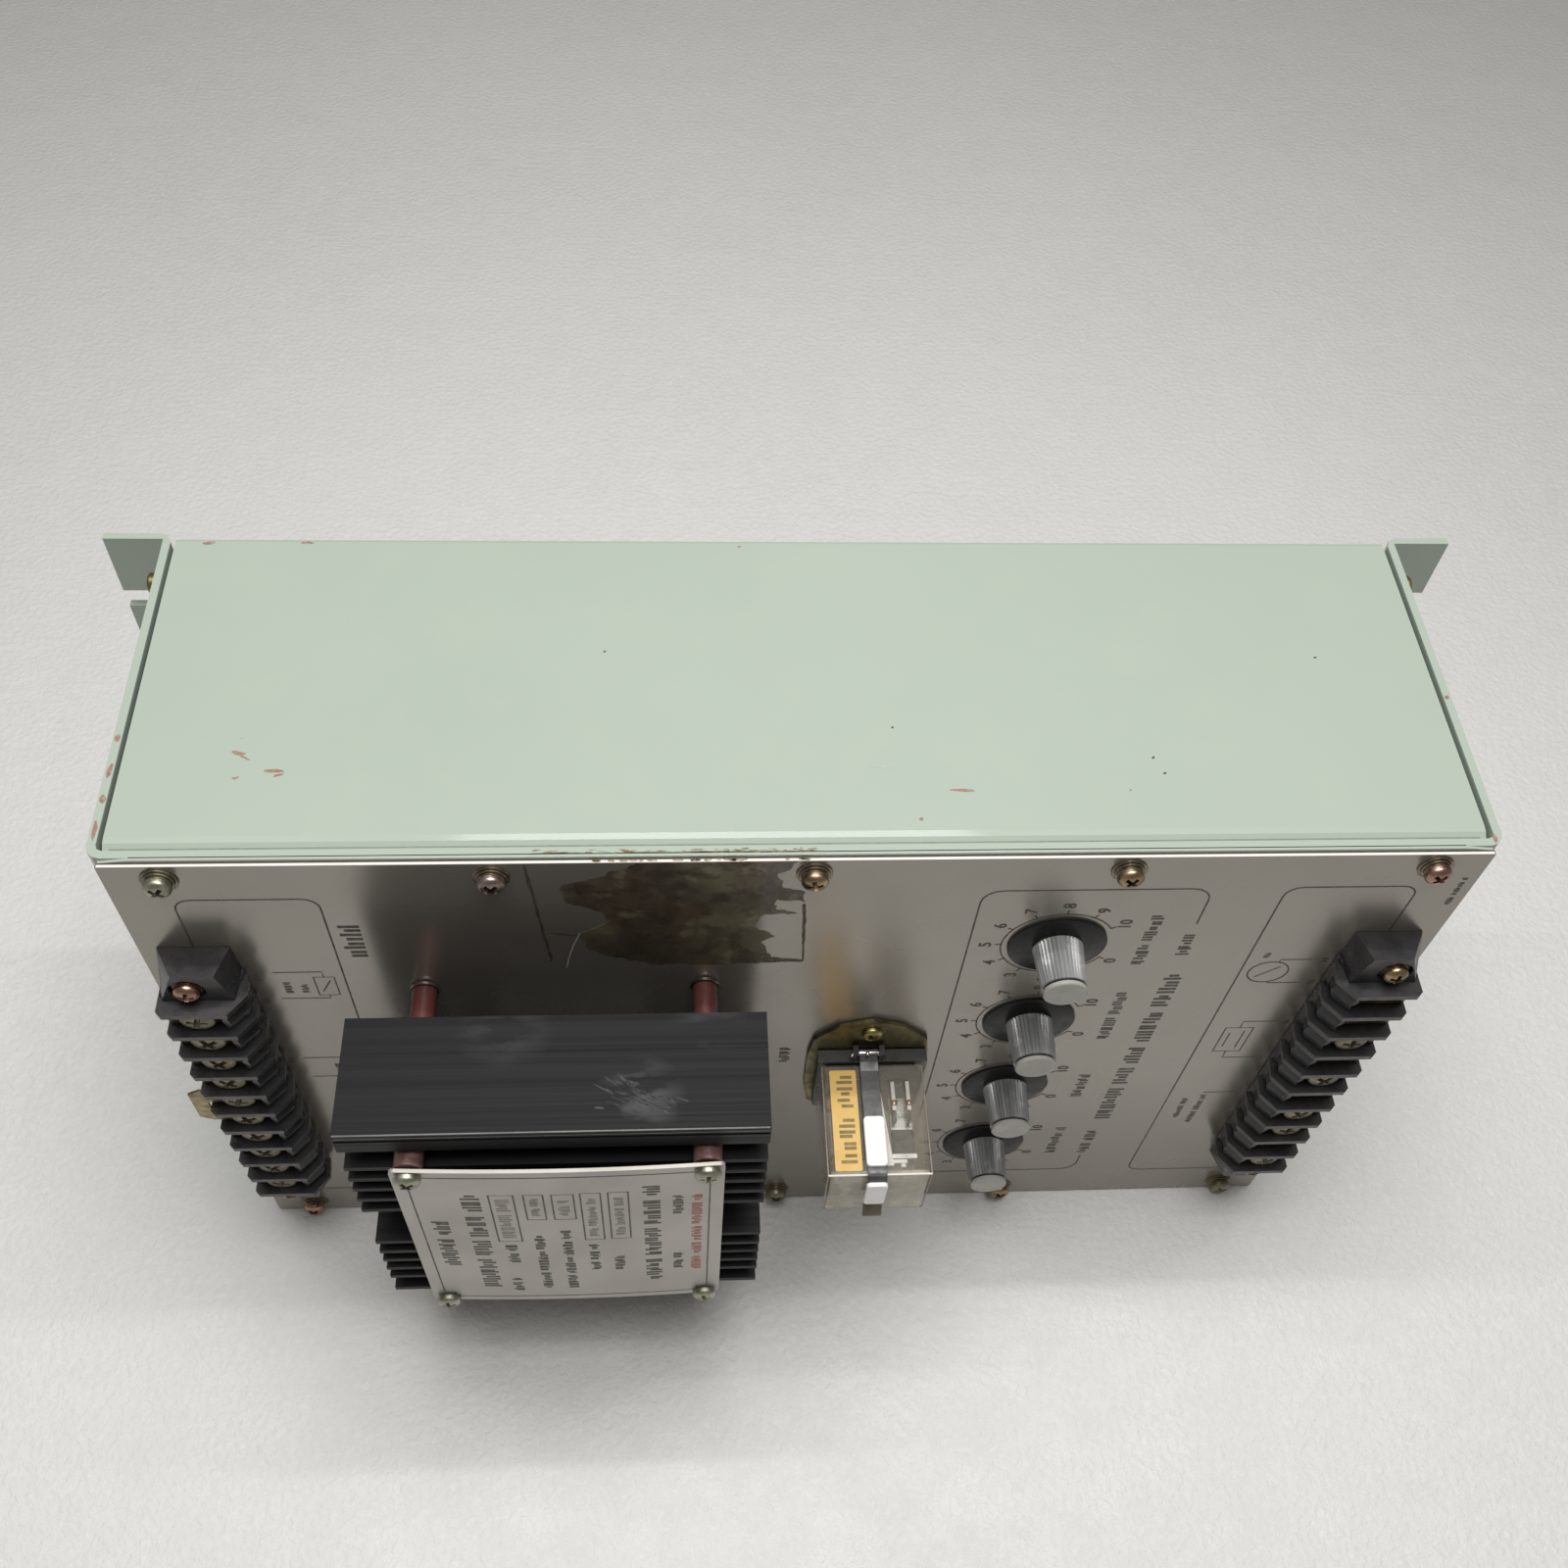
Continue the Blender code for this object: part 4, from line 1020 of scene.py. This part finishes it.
def build_pillar(node, number, look, radius):
    """A tube in place of a CAD pillar; those of the heatsink stand on a washer."""
    low, high = local(node)
    mid = middle(node)
    near = min(high.y, FACE - 0.3)
    far = low.y
    if look == "pillar":
        far = local("heatsink")[1].y + 0.3
        foot = turned([(BORE, near), (3.5, near), (3.6, near - 0.1), (3.6, near - 0.7),
                       (3.5, near - 0.8), (BORE, near - 0.8)], 36, close=True)
        piece(f"pillar_washer_{number}", *placed(foot, mid.x, 0, mid.z), "mauve",
              smooth=40, slot="phenolic")
        near -= 0.85
    tube = turned([(BORE, near), (radius - 0.15, near), (radius, near - 0.15),
                   (radius, far + 0.15), (radius - 0.15, far), (BORE, far)], 36, close=True)
    piece(f"{node[:-2]}_tube_{number}", *placed(tube, mid.x, 0, mid.z), look,
          smooth=40, replaces=(node,), slot="phenolic")


def build_nameplate():
    """A thin bowed plate with rounded corners and printed boxes."""
    low, high = local("nameplate")
    corner = 1.3
    thick = 1.0
    mid = middle("nameplate").x
    half = (high.x - low.x) / 2
    back = high.y
    bow = back - low.y - thick

    def face(x):
        return back - thick - bow * (1 - ((x - mid) / half) ** 2)

    columns = [low.x + corner * (1 - math.cos(math.radians(18 * i))) for i in range(6)]
    columns += [low.x + corner + 2 * (half - corner) * i / 20 for i in range(1, 20)]
    columns += [low.x + high.x - x for x in reversed(columns[:6])]
    rings = []
    for x in columns:
        edge = min(x - low.x, high.x - x)
        inset = 0.0
        if edge < corner:
            inset = corner - math.sqrt(max(corner ** 2 - (corner - edge) ** 2, 0.0))
        inset = min(inset, corner - 0.05)
        z0, z1 = low.z + inset, high.z - inset
        y = face(x)
        rings.append([at(x, y, z0), at(x, y, z1), at(x, y + thick, z1),
                      at(x, y + thick, z0)])
    bevelled(piece("nameplate_sheet", *skin(rings), "plate", replaces=("nameplate",),
                   slot="panel_aluminium"), 0.18)

    def on_plate(x, depth, z):
        return at(x, face(x) - 0.005 + depth, z)

    def printed(x0, x1, z0, z1, seed):
        return bars(x0, x1, z0, z1, seed, on_plate, 0.0)

    def box(x0, x1, z0, z1):
        line = [(x0, z0), (x1, z0), (x1, z1), (x0, z1)]
        return stroke(line, 0.4, True, on_plate, 0.0)

    reach = 6.2
    x0, x1, x2, x3 = low.x + 3.4, low.x + reach, high.x - reach, high.x - 3.4
    z0, z1, z2, z3 = low.z + 3.0, low.z + reach, high.z - reach, high.z - 3.0
    steps = [x1 + (x2 - x1) * i / 12 for i in range(1, 12)]
    rim = [(x0, z1), (x0, z2), (x1, z2), (x1, z3)] + [(x, z3) for x in steps]
    rim += [(x2, z3), (x2, z2), (x3, z2), (x3, z1), (x2, z1), (x2, z0)]
    rim += [(x, z0) for x in reversed(steps)] + [(x1, z0), (x1, z1)]
    shapes = [stroke(rim, 0.36, True, on_plate, 0.0)]
    stamps = []
    for x0, x1, z0, z1 in ((-76.2, -70.4, 103.2, 133.6), (-68.0, -63.4, 117.8, 133.6),
                           (-61.4, -56.2, 117.8, 133.6), (-54.6, -49.8, 103.4, 134.0),
                           (-48.0, -43.2, 103.6, 134.0)):
        shapes.append(box(x0, x1, z0, z1))
        stamps.append(printed(x0 + 1.2, x1 - 1.2, z0 + 2.5, z1 - 2.0, int(z0) + int(x0)))
    piece("nameplate_stamps", *merged(stamps), "stamp")
    rows = ((-91.6, -87.4, 86.0, 119.0), (-83.0, -78.4, 69.5, 136.4),
            (-75.4, -72.6, 66.4, 78.2), (-75.0, -72.0, 88.0, 101.0),
            (-67.4, -64.8, 68.2, 109.8), (-60.6, -58.0, 67.8, 111.4),
            (-54.0, -51.4, 81.6, 100.2), (-47.8, -45.2, 81.0, 93.0),
            (-39.8, -35.6, 72.0, 137.8), (-32.6, -30.0, 80.0, 91.8),
            (-32.6, -30.0, 118.6, 131.0))
    for i, row in enumerate(rows):
        shapes.append(printed(*row, 40 + i))
    piece("nameplate_print", *merged(shapes), "faint_ink")
    piece("nameplate_red_print", *printed(-28.0, -25.4, 78.4, 131.2, 60), "red_ink")


# Relay


def build_relay():
    """The label, coil, contacts and card, the brown edges of the clear case, and a painted
    highlight along its far top edge.
    """
    low, high = local("relay_case")
    top = high.z - 0.02

    def lid(x, depth, z):
        """z here runs along the case, from its mouth to its far end."""
        return at(x, -z, top - 0.5 * (z + high.y) / (high.y - low.y) - depth)

    label = rounded(9.3, 16.4, 9.0, 37.2, 0.4, 2)
    piece("relay_label", *slab(label, 0.0, -0.08, lid), "label", slot="clear_cover")
    words = [bars(11.0, 15.2, z0, z1, seed, lid, -0.09)
             for z0, z1, seed in ((10.6, 21.6, 70), (22.8, 35.8, 71))]
    piece("relay_label_print", *merged(words), "label_ink")

    coil = middle("relay_coil")
    far, near = (corner.y for corner in local("relay_coil"))
    profile = [(HUB, near), (7.0, near), (7.0, near - 1.2), (5.6, near - 1.3)]
    turns = 22
    for i in range(turns + 1):
        y = near - 1.4 + (far - near + 2.8) * i / turns
        profile.append((6.1 if i % 2 else 5.85, y))
    profile += [(5.6, far + 1.3), (7.0, far + 1.2), (7.0, far), (HUB, far)]
    piece("relay_winding", *placed(turned(profile, 28), coil.x, 0, coil.z), "winding",
          smooth=30, replaces=("relay_coil",), slot="copper_wire")
    button = bead(0.95, 0.8, 0.7)
    for number, x in enumerate((26.4, 30.4), 1):
        leaf = rounded(x - 0.5, x + 0.5, 104.9, 105.5, 0.1, 1)
        piece(f"contact_leaf_{number}", *slab(leaf, -11.3, -19.5), "silver")
        piece(f"contact_button_{number}", *placed(button, x, -17.6, 105.6), "copper",
              smooth=30)
    post = [(21.9, -14.6), (23.0, -14.6), (24.9, -35.2), (23.1, -35.2)]
    verts = [at(x, y, z) for z in (104.6, 105.9) for x, y in post]
    piece("relay_yoke_bar", *skin([verts[:4], verts[4:]]), "silver")
    piece("relay_cross_bar", *slab(rounded(24.4, 28.6, 104.8, 105.5, 0.2, 1), -33.4, -34.4),
          "silver")
    piece("relay_cross_pin", *placed(bead(0.8, 0.7, 0.6), 27.4, -35.2, 105.4), "silver",
          smooth=30)
    card = rounded(25.6, 31.4, 100.7, 101.3, 0.2, 1)
    piece("armature_card", *slab(card, -23.3, -30.9), "card", "armature")
    left, right = low.x + 0.2, high.x - 0.2
    mouth, end = high.y - 0.3, low.y + 0.2
    drop = top - 0.65
    base = low.z + 0.2
    lines = [rod((x, mouth, top - 0.18), (x, end, drop), 0.16) for x in (left, right)]
    lines += [rod((x, end, base), (x, end, drop), 0.16) for x in (left, right)]
    lines.append(rod((left, end, base), (right, end, base), 0.16))
    piece("case_edges", *merged(lines), "case_edge")
    # A bright rod along the case's far top edge: painted highlight.
    piece("case_end_highlight", *rod((left, end, drop), (right, end, drop), 0.22), "silver")


CLIP_PIN = (-5.2, 110.6)
CLIP_END = -40.4
CLIP_TOP = 109.4
CLIP_T = 0.6
CLIP_HALF = 2.5
CLIP_BEND = 1.9
PAD_HALF = 2.75
PAD_CORNER = 1.1


def clip_rings(middle_x):
    """Cross-sections along the leaf, from its pin over the relay and down its far end."""
    pin_y, pin_z = CLIP_PIN
    leg = CLIP_END + 0.7
    bend = CLIP_END + 2.6
    path = [(pin_y + 0.7, pin_z + 0.9), (pin_y + 0.7, 109.6), (-7.6, 109.6),
            (-9.8, CLIP_TOP - 0.7), (bend, CLIP_TOP - 0.7)]
    for i in range(1, 6):
        turn = math.radians(18 * i)
        path.append((bend - CLIP_BEND * math.sin(turn),
                     CLIP_TOP - 2.6 + CLIP_BEND * math.cos(turn)))
    path += [(leg, 96.0), (leg - 0.1, 94.4), (leg - 1.0, 92.2), (leg - 2.0, 90.2),
             (leg - 2.2, 89.4)]
    left, right = middle_x - CLIP_HALF, middle_x + CLIP_HALF
    rings = []
    for i, (y, z) in enumerate(path):
        before = path[max(i - 1, 0)]
        after = path[min(i + 1, len(path) - 1)]
        dy, dz = after[0] - before[0], after[1] - before[1]
        size = math.hypot(dy, dz)
        out_y, out_z = y + dz / size * CLIP_T, z - dy / size * CLIP_T
        rings.append([at(left, y, z), at(right, y, z), at(right, out_y, out_z),
                      at(left, out_y, out_z)])
    return rings


def build_clip():
    """A spring leaf on its pin, with two white pads and a tarnished tip."""
    middle_x = middle("relay_clip").x
    pin_y, pin_z = CLIP_PIN
    rings = clip_rings(middle_x)
    leaf = piece("clip_leaf_strip", *skin(rings[:-3]), "leaf", "clip",
                 replaces=("relay_clip",), slot="screw_steel")
    bevelled(leaf, 0.15)
    tip = piece("clip_leaf_tip", *skin(rings[-4:]), "tip", "clip", slot="screw_steel")
    bevelled(tip, 0.12)
    verts, faces = turned([(HUB, -4.3), (0.7, -4.3), (0.8, -4.1), (0.8, 4.1), (0.7, 4.3),
                           (HUB, 4.3)], 16)
    across = [Vector((v.y, v.x, v.z)) for v in verts]
    piece("clip_pin", *placed((across, faces), middle_x, pin_y, pin_z), "steel", "clip",
          smooth=35)
    # Near-white beads at the leaf's bends: painted glints.
    beads = [placed(bead(0.6, 0.4, 0.55), x, pin_y - 0.9, z)
             for x, z in ((15.5, 111.1), (19.6, 111.9), (23.0, 111.3))]
    piece("clip_painted_glints", *merged(beads), "glint", "clip", smooth=60)

    def flat(x, depth, z):
        return at(x, -z, CLIP_TOP + depth)

    for name, start, stop, near, far, place in (
            ("clip_pad_top", 23.2, 37.0, -0.5, 1.1, flat),
            ("clip_pad_end", 95.0, 107.2, CLIP_END + 0.4, CLIP_END - 1.0, at)):
        outline = rounded(middle_x - PAD_HALF, middle_x + PAD_HALF, start, stop, PAD_CORNER)
        pad = piece(name, *slab(outline, near, far, place), "white", "clip")
        bevelled(pad, 0.35, 3)


# Knobs


FLUTES = 38
FLUTE_POINTS = 4


def build_knobs():
    """A dished skirt, a fluted and slightly tapered grip, a groove and a crowned cap."""
    skirt = turned([(3.4, 0.0), (12.1, 0.0), (12.3, -0.1), (12.3, -0.3), (11.9, -0.5),
                    (8.0, -0.8), (6.4, -1.0), (3.4, -1.0)], 72, close=True)
    rings = []
    for y, radius, depth in ((-0.9, 6.05, 0.0), (-1.1, 6.25, 0.0), (-1.4, 6.25, 0.52),
                             (-11.9, 5.6, 0.46), (-12.2, 5.55, 0.0), (-12.3, 4.9, 0.0)):
        points = ring(radius, y, FLUTES * FLUTE_POINTS)
        for i, point in enumerate(points):
            cut = depth * (0.5 - 0.5 * math.cos(2 * math.pi * i / FLUTE_POINTS))
            share = (radius - cut) / radius
            points[i] = Vector((point.x * share, y, point.z * share))
        rings.append(points)
    grip = skin(rings)
    groove = turned([(HUB, -12.3), (5.1, -12.3), (5.1, -12.7), (HUB, -12.7)], 48)
    cap = turned([(HUB, -13.75), (3.6, -13.8), (4.7, -13.95), (5.15, -13.9),
                  (5.4, -13.65), (5.4, -12.95), (5.25, -12.72), (HUB, -12.7)], 48)
    pieces = (("skirt", skirt, "gloss_black"), ("grip", grip, "knob"),
              ("groove", groove, "gloss_black"), ("cap", cap, "cap"))
    for number in range(1, 5):
        node = f"knob_{number}"
        spot = middle(node)
        for word, shape, look in pieces:
            piece(f"knob_{word}_{number}", *placed(shape, spot.x, FACE - 0.3, spot.z), look,
                  f"knob_{number}_turning", smooth=35, slot="knob_grey",
                  replaces=(node,) if word == "skirt" else ())


# CAD nodes that are shown as they are


NODE_LOOKS = {
    "chassis": "paint", "cover": "paint", "front_panel": "panel", "heatsink": "heatsink",
    "terminal_block": "black", "relay_socket": "black", "relay_base": "black",
    # The relay's mounting plate takes the darker zinc, as painted shade.
    "power_module": "black", "relay_mounting_plate": "shaded_zinc", "relay_case": "clear",
    "relay_armature": "steel", "pot_shaft": "steel", "potentiometer": "steel",
    "transformer_core": "steel", "transformer_coil": "tape", "circuit_board": "board",
}

SOFT_EDGES = {  # width in mm and segments
    "chassis": (0.35, 2), "cover": (0.2, 2), "front_panel": (0.25, 2), "heatsink": (0.25, 2),
    "relay_case": (0.5, 3), "relay_socket": (0.3, 2), "relay_mounting_plate": (0.2, 2),
    "terminal_block_left": (0.3, 2), "terminal_block_right": (0.3, 2),
}


def build_materials():
    """The look of each CAD node, by the longest name that fits it, and softened edges."""
    for name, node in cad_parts.items():
        keys = [key for key in NODE_LOOKS if name.startswith(key)]
        if not keys:
            continue
        material = LOOKS[NODE_LOOKS[max(keys, key=len)]]
        for slot in node.material_slots:
            slot.material = material
        if not node.material_slots:
            node.data.materials.append(material)
    for name, (width, segments) in SOFT_EDGES.items():
        bevelled(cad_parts[name], width, segments)


# Stage


def build_stage():
    size = 3.0
    floor = bpy.data.meshes.new("floor")
    floor.from_pydata([(-size, -size, 0), (size, -size, 0), (size, size, 0),
                       (-size, size, 0)], [], [(0, 1, 2, 3)])
    floor.materials.append(floor_look())
    shown("floor", floor)


def area_light(name, place, aim, size, depth, power, colour):
    light = bpy.data.lights.new(name, "AREA")
    light.shape = "ELLIPSE" if size == depth else "RECTANGLE"
    light.size = size
    light.size_y = depth
    light.energy = power
    light.color = colour
    obj = shown(name, light)
    obj.location = place
    way = Vector(aim) - Vector(place)
    obj.rotation_euler = way.to_track_quat("-Z", "Y").to_euler()


def build_lights():
    world = bpy.data.worlds.new("soft_room")
    bpy.context.scene.world = world
    world.use_nodes = True
    background = world.node_tree.nodes["Background"]
    background.inputs["Color"].default_value = (1.0, 0.975, 0.92, 1.0)
    background.inputs["Strength"].default_value = 0.155
    area_light("ceiling", (0.0, -0.08, 1.0), (0, -0.02, 0.1), 0.6, 0.6, 7.0, (1.0, 0.99, 0.965))
    area_light("tube", (0.0, 0.1, 1.0), (0, 0.02, 0.1), 1.0, 0.016, 2.4, (1.0, 0.995, 0.97))
    view = bpy.context.scene.view_settings
    view.view_transform = "Standard"
    view.look = "None"


def build_camera():
    data = bpy.data.cameras.new("camera")
    data.sensor_width = 36.0
    data.lens = 36.75
    data.clip_start = 0.01
    camera = shown("camera", data)
    camera.location = at(-31.6, -197.1, 499.6)
    camera.rotation_euler = [math.radians(angle) for angle in (35.951, -2.960, -2.598)]
    bpy.context.scene.camera = camera


build_camera()
build_stage()
build_lights()
build_materials()
build_case()
build_print()
build_stain()
build_wear()
build_screws()
build_terminals()
build_heatsink()
build_nameplate()
build_relay()
build_clip()
build_knobs()
